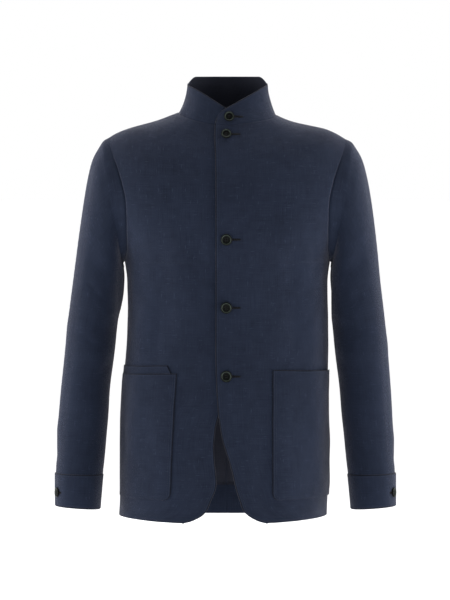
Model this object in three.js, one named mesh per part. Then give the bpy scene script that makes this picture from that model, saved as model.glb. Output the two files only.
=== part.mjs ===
// A man's stand-collar blazer with two patch pockets, in its filled-out form.
// Millimetres, +Z up, +X to the viewer's right, the front of the jacket faces -Y.
// The origin is the middle of the neck base, level with the high shoulder points.
// Every piece is worked out on the +X side, mirrored where it belongs to the other one, and
// then settled as the jacket hangs.
import * as THREE from 'three';

const CLOTH_WALL = 1.6;
const COLLAR_WALL = 2.0;
const CUFF_WALL = 2.6;
const HEM_WALL = 3.0;
const POCKET_WALL = 1.5;
const SEAM_GAP = 0.3;
const ARMHOLE_GAP = 0.4;
const LAY_GAP = 0.35;
const QUARTER_TURN = Math.PI / 2;
const HALF_TURN = Math.PI;

// Level rings of the body. half is half the width, front and back are the depths from the
// middle, flat squares the front and back, and round is lower where the shoulder is rounder.
const TORSO_COLUMNS = ['z', 'half', 'front', 'back', 'flat', 'round'];
const TORSO_ROWS = [
  [-720, 182, 139, 130, 2.4, 2.3],
  [-640, 181.4, 137, 130, 2.4, 2.3],
  [-560, 181.2, 132, 125, 2.4, 2.3],
  [-460, 178.4, 125, 111, 2.4, 2.3],
  [-380, 175.9, 122, 103, 2.4, 2.3],
  [-300, 175, 124, 104, 2.4, 2.3],
  [-265, 179, 127, 108, 2.4, 2.3],
  [-240, 185.4, 130.5, 111.5, 2.4, 2.28],
  [-215, 197, 133, 115, 2.4, 2.25],
  [-180, 212.5, 132, 118, 2.4, 2.2],
  [-149, 223, 129, 119, 2.4, 2.15],
  [-122, 229, 124, 118, 2.4, 2.05],
  [-84, 228, 113, 112, 2.3, 1.9],
  [-60, 219, 103, 104, 2.25, 1.75],
  [-45, 206, 95, 96, 2.2, 1.65],
  [-33, 184, 88, 89, 2.2, 1.6],
  [-20, 143, 81.5, 80, 2.2, 1.6],
  [-10, 109, 77.5, 71, 2.15, 1.7],
  [0, 84, 75, 60, 2.1, 1.9],
  [8, 78, 73, 52, 2.1, 2],
];
const WIDEST_RADIUS = 400;
const RADIUS_HALVINGS = 40;
const NORMAL_STEP = { turn: 0.01, lift: 0.5 };

// The jacket hangs a little to one side: how far its sides, and the
// inside and outside of its sleeves, lie towards +X.
const SWAY_COLUMNS = ['z', 'body', 'inside', 'outside'];
const SWAY_ROWS = [
  [-720, -7, -1.4, -1.4],
  [-680, -5.3, -1.4, -1.4],
  [-640, -4.2, -1.6, -1.6],
  [-560, -3.4, -1.9, -1.6],
  [-490, -1.6, -2.7, -0.8],
  [-430, 0.6, -2.6, 0.1],
  [-364, 2.8, -2.4, 0.4],
  [-300, 2, -1.8, 0.6],
  [-240, 2, 1.6, 1.6],
  [-150, 2.3, 2.3, 2.3],
  [-60, 1.5, 1.8, 1.8],
  [0, 2, 2, 2],
  [60, 2.1, 2.1, 2.1],
];
const SWAY_REACH = { body: 140, collar: 50, from: -80, to: 0 };
const SWAY_INSIDE = { from: 181, to: 187 };
const SWAY_OUTSIDE = { from: 200, to: 265 };

// Both shoulders drop a little beside the neck, one more than the other.
const SHOULDER_DROPS = [
  { x: 110, spread: 50, drop: 5.4 },
  { x: 208, spread: 24, drop: 3.6 },
  { x: -132, spread: 18, drop: 0.9 },
];
const SHOULDER_DROP_BAND = { low: -75, full: -25, fade: 0, end: 25 };

// Soft upright drapes of the body. angle is from the front middle, spread its half-width,
// both in degrees, and depth is how far the cloth lies in (negative) or stands out.
const DRAPE_COLUMNS = ['angle', 'spread', 'top', 'foot', 'depth'];
const DRAPE_ROWS = [
  [47, 7, -190, -430, -2.6],
  [62, 6, -260, -640, 2.0],
  [28, 8, -500, -720, -1.8],
  [118, 7, -230, -560, -2.6],
  [134, 6, -300, -720, 2.2],
  [162, 8, -260, -690, -2.4],
];
const DRAPE_FADE_SHARE = 0.25;

// The armhole, seen from the side: an upright egg between top and foot.
const ARMHOLE = {
  top: -45,
  foot: -262,
  middle: -150,
  reachFront: 86,
  reachBack: 74,
  crown: 1.65,
  base: 2.0,
};
const ARMHOLE_HALF_STEPS = 10;
const ARMHOLE_SPREAD = 0.82;
const SLEEVE_SIDES = 2 * ARMHOLE_HALF_STEPS;
const SHARPEST_MITRE = 0.2;

// Sleeve sections from the sleeve head to the cuff end. out and in are the ends of the
// section on the outer and inner line of the sleeve, deep is half its depth.
const SLEEVE_COLUMNS = ['station', 'outX', 'outZ', 'inX', 'inZ', 'midY', 'deep', 'square'];
const SLEEVE_ROWS = [
  [1, 221, -57, 183, -267, -3, 76, 2],
  [2, 235, -82, 181, -274, -3, 75, 2.05],
  [3, 243.5, -112, 180, -283, -3, 73.5, 2.1],
  [4, 250.5, -150, 180, -294, -2.5, 72, 2.15],
  [5, 257, -195, 180.7, -306, -1.5, 70.5, 2.2],
  [6, 263, -243, 181.8, -319, -0.5, 68.5, 2.2],
  [7, 268.5, -292, 183.5, -336, 0.5, 66.5, 2.2],
  [8, 275, -345, 186.5, -363, 0.5, 64, 2.2],
  [9, 280.5, -395, 190.5, -400, 0, 61, 2.2],
  [10, 285, -443, 195.5, -443, -1, 59.5, 2.2],
  [11, 289.6, -495, 201.5, -495, -5, 57.5, 2.2],
  [12, 292.9, -548, 206, -548, -12, 55, 2.2],
  [13, 295.2, -600, 210.5, -600, -19, 52.5, 2.2],
  [14, 296.3, -631, 214.2, -633, -23, 51, 2.2],
  [15, 296.4, -658, 216.9, -662, -25.5, 50, 2.2],
  [16, 296.2, -686.5, 219.4, -692, -28, 49, 2.2],
];
const SLEEVE_HEAD_STATIONS = [1, 2, 3, 4];
const SLEEVE_FIRST_FINE_STATION = 5;
const SLEEVE_FINE_PITCH = 0.5;
const CUFF_STATION = 14;
const CUFF_END_STATION = 16;
const CUFF_PROUD = 1.0;
const FULL_CIRCLE = 360;

// The largest sleeve folds. around and spread are in degrees from the outer line towards
// the front, and along is the half-length down the sleeve in stations.
const SLEEVE_FOLD_COLUMNS = ['station', 'around', 'spread', 'along', 'depth'];
const SLEEVE_FOLD_ROWS = [
  [8.5, 128, 42, 0.5, -2.6],
  [9.6, 110, 44, 0.5, 2.4],
  [10.6, 122, 46, 0.5, -3.0],
  [11.6, 140, 36, 0.5, 2.0],
  [5.6, 80, 34, 0.7, -2.4],
  [6.0, 285, 36, 0.8, -2.4],
  [10.0, 250, 40, 0.6, -2.0],
];

// The front edges from the neck down, measured from the middle towards the front's own side.
const EDGE_COLUMNS = ['z', 'over', 'under'];
const EDGE_ROWS = [
  [-713.5, 82, 79],
  [-711.5, 70, 68.5],
  [-708, 58.5, 58.5],
  [-699.5, 42, 43],
  [-689, 31, 34],
  [-673, 25, 27.5],
  [-649, 17, 18.5],
  [-625, 11.8, 19],
  [-600, 4.6, 21.5],
  [-570, -5, 22],
  [-528, -12, 15],
  [-484, -15.6, -6],
  [-430, -17.5, -18],
  [-300, -17.5, -18],
  [0, -17.5, -18],
];

// How far the overlapping front and collar end stand out over the lower ones.
const OVERLAP = { lift: 2.6, full: 30, none: 85 };

// The neckline dips in front, rises behind, and the hem is a little longer in front.
const NECK_DIP = -21;
const NECK_BACK_RISE = 6;
const NECK_BEND_FROM = -150;
const HEM = { front: -712.5, sideRise: 8.2, backRise: 1.6, bendTo: -640, power: 3 };
const HEM_FOLD_TOP = -662;

const LOWER_ROWS = [HEM.front, -708, -699.5, -689, -673, -662, -649, -625, -600, -570, -528, -484];
const UPPER_ROWS = [-438, -390, -340, -300, -277];
const SHOULDER_ROWS = [-33, -22, -11, 0];

// Patch pockets by side. line is how far the front edge of the pocket lies from the middle.
const POCKETS = {
  left: { mouth: -446, lineTop: 81, lineFoot: 84 },
  right: { mouth: -452, lineTop: 86, lineFoot: 94 },
};
const POCKET_FOOT = -673;
const MOUTH_SAG = { z: -447, reach: 45, drop: 5 };
const POCKET_CORNER = [0.5, 0.15];
const EDGE_CELLS = 3;
const POCKET_CELLS = 6;
const BACK_CELLS = 8;
const SIDE_CROWDING = 1.4;
const FLAP = { frontAtTop: 0.66, frontAtFoot: 0.42 };

// The stand collar. Its front top edges fall in a straight line to the overlapping ends.
const COLLAR = { half: 70, front: 64, back: 52, midY: -8, crossing: 7, slope: 0.6 };
const COLLAR_BACK_TOP = { side: 49, back: 60.5, from: 0.08, to: 0.52 };
const COLLAR_BOW = 3;
const COLLAR_STEPS = 5;

const BUTTON = { sides: 14, seat: 0.45 };
// Half of a button's section, out from its middle and up from its back, in radii.
const BUTTON_OUTLINE = [
  [0, 0],
  [0.72, 0],
  [1, 0.16],
  [1, 0.3],
  [0.86, 0.38],
  [0.62, 0.26],
  [0, 0.26],
];
const FRONT_BUTTON_RADIUS = 10;
const SMALL_BUTTON_RADIUS = 9;
const CUFF_BUTTON_RADIUS = 8.5;
const FRONT_BUTTON_HEIGHTS = { top: -219.5, middle: -338, lower: -457 };
const NECK_BUTTON = { x: 0, z: -37.5 };
const COLLAR_BUTTON = { x: 5, z: -7.5 };
const CUFF_BUTTON = { y: -52, z: -663 };

const clothMaterial = (shade) => new THREE.MeshStandardMaterial({
  color: new THREE.Color(0x2b3247).multiplyScalar(shade),
  roughness: 0.92,
  metalness: 0,
});
const buttonMaterial = () => new THREE.MeshStandardMaterial({
  color: 0x20241f,
  roughness: 0.32,
  metalness: 0,
});

// A table whose columns run smoothly between its rows. The first column is the key.
function smoothTable(columns, rows) {
  const last = rows.length - 1;
  const slope = (i, c) => {
    const before = Math.max(i - 1, 0);
    const after = Math.min(i + 1, last);
    return (rows[after][c] - rows[before][c]) / (rows[after][0] - rows[before][0]);
  };
  return (key) => {
    const held = THREE.MathUtils.clamp(key, rows[0][0], rows[last][0]);
    const i = Math.min(rows.findLastIndex((row) => row[0] <= held), last - 1);
    const span = rows[i + 1][0] - rows[i][0];
    const t = (held - rows[i][0]) / span;
    const rise = t * t * (3 - 2 * t);
    const entries = columns.map((name, c) => {
      const level = rows[i][c] * (1 - rise) + rows[i + 1][c] * rise;
      const leaving = slope(i, c) * span * t * (1 - t) * (1 - t);
      const arriving = slope(i + 1, c) * span * t * t * (t - 1);
      return [name, level + leaving + arriving];
    });
    return Object.fromEntries(entries);
  };
}

const namedRows = (columns, rows) => rows.map(
  (row) => Object.fromEntries(columns.map((name, c) => [name, row[c]])),
);
const torsoRing = smoothTable(TORSO_COLUMNS, TORSO_ROWS);
const sleeveSection = smoothTable(SLEEVE_COLUMNS, SLEEVE_ROWS);
const swayAt = smoothTable(SWAY_COLUMNS, SWAY_ROWS);
const frontEdge = smoothTable(EDGE_COLUMNS, EDGE_ROWS);
const drapes = namedRows(DRAPE_COLUMNS, DRAPE_ROWS);
const sleeveFolds = namedRows(SLEEVE_FOLD_COLUMNS, SLEEVE_FOLD_ROWS);

const bell = (distance, spread) => Math.exp(-((distance / spread) ** 2));
const ease = (value, from, to) => THREE.MathUtils.smoothstep(value, from, to);
const oval = (value, square) => Math.sign(value) * Math.abs(value) ** (2 / square);

function ringRadius(angle, ring) {
  const across = Math.abs(Math.sin(angle)) / ring.half;
  const along = Math.abs(Math.cos(angle)) / (Math.cos(angle) > 0 ? ring.front : ring.back);
  let low = 0;
  let high = WIDEST_RADIUS;
  for (let step = 0; step < RADIUS_HALVINGS; step += 1) {
    const middle = (low + high) / 2;
    const inside = (across * middle) ** ring.flat + (along * middle) ** ring.round < 1;
    low = inside ? middle : low;
    high = inside ? high : middle;
  }
  return high;
}

function drapeAt(angle, z) {
  const degrees = THREE.MathUtils.radToDeg(angle);
  return drapes.reduce((sum, drape) => {
    const fade = (drape.top - drape.foot) * DRAPE_FADE_SHARE;
    const begins = 1 - ease(z, drape.top - fade, drape.top);
    const ends = drape.foot < HEM.front ? 1 : ease(z, drape.foot, drape.foot + fade);
    return sum + drape.depth * bell(degrees - drape.angle, drape.spread) * begins * ends;
  }, 0);
}

// A point of the body's outer face. angle 0 is the front middle, a quarter turn the side.
function torsoPoint(angle, z) {
  const radius = ringRadius(angle, torsoRing(z)) + drapeAt(angle, z);
  return new THREE.Vector3(radius * Math.sin(angle), -radius * Math.cos(angle), z);
}

function torsoNormal(angle, z) {
  const { turn, lift } = NORMAL_STEP;
  const around = torsoPoint(angle + turn, z).sub(torsoPoint(angle - turn, z));
  const up = torsoPoint(angle, z + lift).sub(torsoPoint(angle, z - lift));
  return around.cross(up).normalize();
}

function angleAt(x, z) {
  const ring = torsoRing(z);
  const y = ring.front * (1 - (Math.abs(x) / ring.half) ** ring.flat) ** (1 / ring.round);
  return Math.atan2(x, y);
}

// Grids of points, with the cloth's inner face laid behind the outer one.
function gridNormals(grid, closed) {
  return grid.map((row, i) => row.map((point, j) => {
    const count = row.length;
    const before = closed ? (j + count - 1) % count : Math.max(j - 1, 0);
    const after = closed ? (j + 1) % count : Math.min(j + 1, count - 1);
    const across = row[after].clone().sub(row[before]);
    const above = grid[Math.min(i + 1, grid.length - 1)][j];
    const below = grid[Math.max(i - 1, 0)][j];
    return across.cross(above.clone().sub(below)).normalize();
  }));
}

function moved(grid, normals, distance) {
  return grid.map((row, i) => row.map((point, j) => {
    const amount = typeof distance === 'function' ? distance(i, j) : distance;
    return point.clone().addScaledVector(normals[i][j], amount);
  }));
}

function signedVolume(points, faces) {
  return faces.reduce((sum, [a, b, c]) => {
    const cross = points[b].clone().cross(points[c]);
    return sum + points[a].dot(cross) / 6;
  }, 0);
}

// Where a point of the cloth comes to lie as the jacket hangs.
function settled(point) {
  const { x, y, z } = point;
  const sway = swayAt(z);
  const onSleeve = ease(Math.abs(x), SWAY_INSIDE.from, SWAY_INSIDE.to);
  const outwards = ease(Math.abs(x), SWAY_OUTSIDE.from, SWAY_OUTSIDE.to);
  const inner = THREE.MathUtils.lerp(sway.body, sway.inside, onSleeve);
  const towardsNeck = ease(z, SWAY_REACH.from, SWAY_REACH.to);
  const reach = THREE.MathUtils.lerp(SWAY_REACH.body, SWAY_REACH.collar, towardsNeck);
  const shift = THREE.MathUtils.lerp(inner, sway.outside, outwards) * ease(Math.abs(x), 0, reach);
  const { low, full, fade, end } = SHOULDER_DROP_BAND;
  const band = ease(z, low, full) * (1 - ease(z, fade, end));
  const drop = SHOULDER_DROPS.reduce(
    (sum, place) => sum + place.drop * bell(x - place.x, place.spread),
    0,
  );
  return new THREE.Vector3(x + shift, y, z - drop * band);
}

// A closed wall between an outer and an inner grid of the same size.
function clothWall(outer, inner, closed = false) {
  const rows = outer.length;
  const columns = outer[0].length;
  const points = [...outer.flat(), ...inner.flat()].map(settled);
  const behind = rows * columns;
  const at = (i, j) => i * columns + (j % columns);
  const faces = [];
  const quad = (a, b, c, d) => faces.push([a, b, c], [a, c, d]);
  const spans = closed ? columns : columns - 1;
  for (let i = 0; i < rows - 1; i += 1) {
    for (let j = 0; j < spans; j += 1) {
      quad(at(i, j), at(i, j + 1), at(i + 1, j + 1), at(i + 1, j));
      const [a, b, c, d] = [at(i, j), at(i + 1, j), at(i + 1, j + 1), at(i, j + 1)];
      faces.push([a + behind, c + behind, d + behind], [a + behind, b + behind, c + behind]);
    }
  }
  for (let j = 0; j < spans; j += 1) {
    const [a, b] = [at(0, j), at(0, j + 1)];
    quad(b, a, a + behind, b + behind);
    const [c, d] = [at(rows - 1, j), at(rows - 1, j + 1)];
    quad(c, d, d + behind, c + behind);
  }
  for (let i = 0; i < rows - 1 && !closed; i += 1) {
    const [a, b] = [at(i, 0), at(i + 1, 0)];
    quad(a, b, b + behind, a + behind);
    const [c, d] = [at(i, columns - 1), at(i + 1, columns - 1)];
    quad(d, c, c + behind, d + behind);
  }
  const outward = signedVolume(points, faces) > 0;
  const geometry = new THREE.BufferGeometry();
  const position = new THREE.Float32BufferAttribute(points.flatMap((p) => [p.x, p.y, p.z]), 3);
  geometry.setAttribute('position', position);
  geometry.setIndex(faces.flatMap(([a, b, c]) => (outward ? [a, b, c] : [a, c, b])));
  return geometry;
}

const mirrored = (grid, side) => grid.map((row) => row.map(
  (point) => new THREE.Vector3(point.x * side, point.y, point.z),
));

// Armhole points from the shoulder down the front, round the armpit and up the back.
function armholePoint(k) {
  const behind = k > ARMHOLE_HALF_STEPS;
  const step = behind ? SLEEVE_SIDES - k : k;
  const fall = ((1 - Math.cos((HALF_TURN * step) / ARMHOLE_HALF_STEPS)) / 2) ** ARMHOLE_SPREAD;
  const z = ARMHOLE.top + (ARMHOLE.foot - ARMHOLE.top) * fall;
  const above = z > ARMHOLE.middle;
  const part = (z - ARMHOLE.middle) / ((above ? ARMHOLE.top : ARMHOLE.foot) - ARMHOLE.middle);
  const square = above ? ARMHOLE.crown : ARMHOLE.base;
  const reach = behind ? ARMHOLE.reachBack : ARMHOLE.reachFront;
  const y = reach * Math.max(0, 1 - part ** square) ** (1 / square);
  const ring = torsoRing(z);
  const depth = behind ? ring.back : ring.front;
  const x = ring.half * (1 - (y / depth) ** ring.round) ** (1 / ring.flat);
  return new THREE.Vector3(x, behind ? y : -y, z);
}

function foldAt(station, k) {
  const around = (FULL_CIRCLE * k) / SLEEVE_SIDES;
  return sleeveFolds.reduce((sum, fold) => {
    const turned = Math.abs(around - fold.around);
    const apart = Math.min(turned, FULL_CIRCLE - turned);
    const shape = bell(apart, fold.spread) * bell(station - fold.station, fold.along);
    return sum + fold.depth * shape;
  }, 0);
}

function sleeveRing(station) {
  const cut = sleeveSection(station);
  const middle = new THREE.Vector3((cut.outX + cut.inX) / 2, cut.midY, (cut.outZ + cut.inZ) / 2);
  const reach = new THREE.Vector3((cut.outX - cut.inX) / 2, 0, (cut.outZ - cut.inZ) / 2);
  return Array.from({ length: SLEEVE_SIDES }, (_, k) => {
    const angle = (2 * HALF_TURN * k) / SLEEVE_SIDES;
    const arm = reach.clone().multiplyScalar(oval(Math.cos(angle), cut.square));
    arm.y -= cut.deep * oval(Math.sin(angle), cut.square);
    const stretch = 1 + foldAt(station, k) / arm.length();
    return middle.clone().addScaledVector(arm, stretch);
  });
}

function sleeveStations() {
  const fine = [];
  for (let s = SLEEVE_FIRST_FINE_STATION; s <= CUFF_STATION; s += SLEEVE_FINE_PITCH) {
    fine.push(s);
  }
  return [...SLEEVE_HEAD_STATIONS, ...fine];
}

// The sleeve and the body share the armhole seam: the same points, the same mitred inside.
const armholeRing = Array.from({ length: SLEEVE_SIDES }, (_, k) => armholePoint(k));
const sleeveOuter = [armholeRing, ...sleeveStations().map(sleeveRing)];
const sleeveNormals = gridNormals(sleeveOuter, true);
const armholeSeam = armholeRing.map((point, k) => {
  const bodyNormal = torsoNormal(Math.atan2(point.x, -point.y), point.z);
  const meeting = bodyNormal.clone().add(sleeveNormals[0][k]);
  const facing = Math.max(bodyNormal.dot(sleeveNormals[0][k]), SHARPEST_MITRE);
  const inward = meeting.divideScalar(-(1 + facing));
  const across = sleeveOuter[1][k].clone().sub(point);
  across.addScaledVector(inward, -across.dot(inward) / inward.lengthSq()).normalize();
  return { point, inner: point.clone().addScaledVector(inward, CLOTH_WALL), across };
});

function sleeveGeometry(side) {
  const outer = sleeveOuter.map((row) => row.map((point) => point.clone()));
  const inner = moved(sleeveOuter, sleeveNormals, -CLOTH_WALL);
  armholeSeam.forEach((seam, k) => {
    outer[0][k] = seam.point.clone().addScaledVector(seam.across, ARMHOLE_GAP);
    inner[0][k] = seam.inner.clone().addScaledVector(seam.across, ARMHOLE_GAP);
  });
  return clothWall(mirrored(outer, side), mirrored(inner, side), true);
}

function cuffGeometry(side) {
  const stations = [CUFF_STATION, CUFF_STATION + 1, CUFF_END_STATION];
  const plain = stations.map(sleeveRing);
  const normals = gridNormals(plain, true);
  const outer = moved(plain, normals, CUFF_PROUD);
  const inner = moved(plain, normals, CUFF_PROUD - CUFF_WALL);
  [outer[0], inner[0]].forEach((row) => row.forEach((point) => {
    point.z -= SEAM_GAP;
  }));
  return clothWall(mirrored(outer, side), mirrored(inner, side), true);
}

// Rows of the body from the hem up: where each one is and how it meets the side.
function bodyRows(pocket) {
  const plain = (z) => ({ z, seam: null });
  const armhole = [];
  for (let k = ARMHOLE_HALF_STEPS; k >= 0; k -= 1) {
    armhole.push({ z: armholePoint(k).z, seam: k });
  }
  return [
    ...LOWER_ROWS.map(plain),
    plain(pocket.mouth),
    ...UPPER_ROWS.map(plain),
    ...armhole,
    ...SHOULDER_ROWS.map(plain),
  ];
}

const rowsBySide = { left: bodyRows(POCKETS.left), right: bodyRows(POCKETS.right) };

// A level row bends to the neckline at its top and to the hem at its foot.
function bentHeight(z, angle) {
  const forward = Math.cos(angle);
  const neck = (forward > 0 ? NECK_DIP : NECK_BACK_RISE) * forward * forward;
  const side = Math.abs(Math.sin(angle)) ** HEM.power;
  const hem = HEM.sideRise * side + (forward < 0 ? HEM.backRise * (1 - side) : 0);
  const low = 1 - ease(z, HEM.front, HEM.bendTo);
  const sag = MOUTH_SAG.drop * bell(z - MOUTH_SAG.z, MOUTH_SAG.reach) * side;
  return z + neck * ease(z, NECK_BEND_FROM, 0) + hem * low - sag;
}

function sideAngle(row) {
  if (row.seam === null) {
    return QUARTER_TURN;
  }
  const point = armholePoint(row.seam);
  return Math.atan2(point.x, -point.y);
}

// Columns stand closer together towards the side, where the shoulder turns most.
function towardsSide(from, to, part) {
  return THREE.MathUtils.lerp(from, to, 1 - (1 - part) ** SIDE_CROWDING);
}

// The front's columns: some from its edge to the pocket line, the rest on to the side.
function frontAngles(row, pocket, edgeName) {
  const first = angleAt(frontEdge(row.z)[edgeName], row.z);
  const last = sideAngle(row);
  const down = (row.z - pocket.mouth) / (POCKET_FOOT - pocket.mouth);
  const held = THREE.MathUtils.clamp(down, 0, 1);
  const lineX = THREE.MathUtils.lerp(pocket.lineTop, pocket.lineFoot, held);
  const mouthEdge = angleAt(frontEdge(pocket.mouth)[edgeName], pocket.mouth);
  const share = (angleAt(pocket.lineTop, pocket.mouth) - mouthEdge) / (QUARTER_TURN - mouthEdge);
  const line = down > 0 ? angleAt(lineX, row.z) : first + (last - first) * share;
  return Array.from({ length: EDGE_CELLS + POCKET_CELLS + 1 }, (_, j) => (
    j <= EDGE_CELLS
      ? THREE.MathUtils.lerp(first, line, j / EDGE_CELLS)
      : towardsSide(line, last, (j - EDGE_CELLS) / POCKET_CELLS)
  ));
}

function backAngles(row) {
  const last = row.seam === null ? QUARTER_TURN : backSide(row);
  return Array.from({ length: BACK_CELLS + 1 }, (_, j) => (
    towardsSide(HALF_TURN, last, j / BACK_CELLS)
  ));
}

function backSide(row) {
  const point = armholePoint((SLEEVE_SIDES - row.seam) % SLEEVE_SIDES);
  return Math.atan2(point.x, -point.y);
}

function overlapLift(x, over) {
  return over ? OVERLAP.lift * (1 - ease(x, OVERLAP.full, OVERLAP.none)) : 0;
}

// One panel of the body on the +X side. seamY moves its side edge clear of the next panel.
function bodyPanel(rows, anglesOf, { over = false, front = true } = {}) {
  const outer = [];
  const inner = [];
  const normals = [];
  rows.forEach((row) => {
    const angles = anglesOf(row);
    const wall = !front && row.z <= HEM_FOLD_TOP ? HEM_WALL : CLOTH_WALL;
    const places = angles.map((angle) => [angle, bentHeight(row.z, angle)]);
    const normalRow = places.map(([angle, z]) => torsoNormal(angle, z));
    const outerRow = places.map(([angle, z], j) => {
      const point = torsoPoint(angle, z);
      return point.addScaledVector(normalRow[j], overlapLift(point.x, over));
    });
    const innerRow = outerRow.map((point, j) => point.clone().addScaledVector(normalRow[j], -wall));
    const end = angles.length - 1;
    if (row.seam !== null) {
      const k = front ? row.seam : (SLEEVE_SIDES - row.seam) % SLEEVE_SIDES;
      outerRow[end] = armholeSeam[k].point.clone();
      innerRow[end] = armholeSeam[k].inner.clone();
    }
    [outerRow[end], innerRow[end]].forEach((point) => {
      point.y += front ? -SEAM_GAP / 2 : SEAM_GAP / 2;
    });
    if (!front) {
      outerRow[0].x = SEAM_GAP / 2;
      innerRow[0].x = SEAM_GAP / 2;
    }
    outer.push(outerRow);
    inner.push(innerRow);
    normals.push(normalRow);
  });
  return { rows, outer, inner, normals };
}

const panels = {
  frontLeft: bodyPanel(
    rowsBySide.left,
    (row) => frontAngles(row, POCKETS.left, 'over'),
    { over: true },
  ),
  frontRight: bodyPanel(rowsBySide.right, (row) => frontAngles(row, POCKETS.right, 'under')),
  backLeft: bodyPanel(rowsBySide.left, backAngles, { front: false }),
  backRight: bodyPanel(rowsBySide.right, backAngles, { front: false }),
};

const panelGeometry = (panel, side) => clothWall(
  mirrored(panel.outer, side),
  mirrored(panel.inner, side),
);

// A point between the columns of a panel's row, moved out from it.
function onPanel(panel, i, column, distance) {
  const j = Math.min(Math.floor(column), panel.outer[i].length - 2);
  const part = column - j;
  const point = panel.outer[i][j].clone().lerp(panel.outer[i][j + 1], part);
  const normal = panel.normals[i][j].clone().lerp(panel.normals[i][j + 1], part).normalize();
  return point.addScaledVector(normal, distance);
}

function layeredPiece(panel, side, rowIndexes, firstColumnOf) {
  const lastColumn = EDGE_CELLS + POCKET_CELLS;
  const lay = (distance) => rowIndexes.map((i) => {
    const columns = [firstColumnOf(i)];
    for (let j = EDGE_CELLS + 1; j <= lastColumn; j += 1) {
      columns.push(j);
    }
    return columns.map((column) => onPanel(panel, i, column, distance));
  });
  const outer = lay(LAY_GAP + POCKET_WALL);
  const inner = lay(LAY_GAP);
  return clothWall(mirrored(outer, side), mirrored(inner, side));
}

// The patch pocket lies on the front from the pocket line to the side seam.
function pocketGeometry(panel, pocket, side) {
  const foot = panel.rows.findIndex((row) => row.z === POCKET_FOOT);
  const mouth = panel.rows.findIndex((row) => row.z === pocket.mouth);
  const indexes = Array.from({ length: mouth - foot + 1 }, (_, n) => foot + n);
  return layeredPiece(panel, side, indexes, (i) => EDGE_CELLS + (POCKET_CORNER[i - foot] ?? 0));
}

// The flap is tucked into the right pocket, and only its upper edge shows.
function flapGeometry(panel, pocket, side) {
  const mouth = panel.rows.findIndex((row) => row.z === pocket.mouth);
  const part = { [mouth]: FLAP.frontAtFoot, [mouth + 1]: FLAP.frontAtTop };
  const lifted = clothLift(panel, mouth);
  return layeredPiece(lifted, side, [mouth, mouth + 1], (i) => EDGE_CELLS + part[i]);
}

// The flap's lower row starts just above the pocket's mouth.
function clothLift(panel, mouth) {
  const copy = { ...panel, outer: [...panel.outer] };
  const above = panel.outer[mouth + 1];
  copy.outer[mouth] = panel.outer[mouth].map((point, j) => {
    const up = above[j].clone().sub(point).normalize();
    return point.clone().addScaledVector(up, SEAM_GAP);
  });
  return copy;
}

// The collar stands on the neck edges of the four panels, from the lower front round
// the back to the overlapping front.
function neckEdge() {
  const top = (panel) => panel.outer[panel.outer.length - 1];
  const along = (row, side) => row.map((point) => ({
    side,
    base: new THREE.Vector3(point.x * side, point.y, point.z),
  }));
  const underFront = along(top(panels.frontRight), -1);
  const backRight = along([...top(panels.backRight)].reverse(), -1);
  const backLeft = along(top(panels.backLeft), 1);
  const overFront = along([...top(panels.frontLeft)].reverse(), 1);
  return [...underFront, ...backRight.slice(1), ...backLeft.slice(1), ...overFront.slice(1)];
}

function collarTop({ base, side }) {
  const angle = Math.atan2(base.x * side, -base.y);
  const radius = ringRadius(angle, { ...COLLAR, flat: 2, round: 2 });
  const ownX = radius * Math.sin(angle);
  const inFront = Math.abs(angle) < QUARTER_TURN;
  const reach = radius + overlapLift(ownX, side > 0 && inFront);
  const turned = Math.abs(angle) - QUARTER_TURN;
  const rear = ease(turned, COLLAR_BACK_TOP.from, COLLAR_BACK_TOP.to);
  const front = COLLAR.crossing + COLLAR.slope * ownX;
  const back = THREE.MathUtils.lerp(COLLAR_BACK_TOP.side, COLLAR_BACK_TOP.back, rear);
  const z = turned > 0 ? back : Math.min(front, COLLAR_BACK_TOP.side);
  return new THREE.Vector3(
    reach * Math.sin(angle) * side,
    COLLAR.midY - reach * Math.cos(angle),
    z,
  );
}

function collarGeometry() {
  const edge = neckEdge();
  const outer = Array.from({ length: COLLAR_STEPS + 1 }, (_, i) => edge.map((place) => {
    const top = collarTop(place);
    const rise = top.clone().sub(place.base).normalize().multiplyScalar(SEAM_GAP);
    const point = place.base.clone().add(rise).lerp(top, i / COLLAR_STEPS);
    const away = new THREE.Vector3(point.x, 0, 0).normalize();
    const sideways = Math.min(1, Math.abs(place.base.x) / COLLAR.half) ** 2;
    const bow = COLLAR_BOW * sideways * Math.sin((HALF_TURN * i) / COLLAR_STEPS);
    return point.addScaledVector(away, -bow);
  }));
  const normals = gridNormals(outer, false);
  const facesOut = normals[0][0].y < 0 ? 1 : -1;
  const inner = moved(outer, normals, -COLLAR_WALL * facesOut);
  return clothWall(outer, inner);
}

// A button with a raised rim and a dished face, standing on what it is sewn to.
function buttonGeometry(radius) {
  const outline = BUTTON_OUTLINE.map(([out, up]) => new THREE.Vector2(radius * out, radius * up));
  return new THREE.LatheGeometry(outline, BUTTON.sides);
}

function seatButton(name, radius, carrier, origin, direction) {
  const ray = new THREE.Raycaster(origin, direction);
  const [hit] = ray.intersectObject(carrier);
  const mesh = new THREE.Mesh(buttonGeometry(radius), buttonMaterial());
  mesh.name = name;
  mesh.quaternion.setFromUnitVectors(new THREE.Vector3(0, 1, 0), hit.face.normal);
  mesh.position.copy(hit.point).addScaledVector(hit.face.normal, BUTTON.seat);
  return mesh;
}

const blazer = new THREE.Group();

function addCloth(name, geometry, shade = 1) {
  const mesh = new THREE.Mesh(geometry, clothMaterial(shade));
  mesh.name = name;
  blazer.add(mesh);
  return mesh;
}

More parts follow.
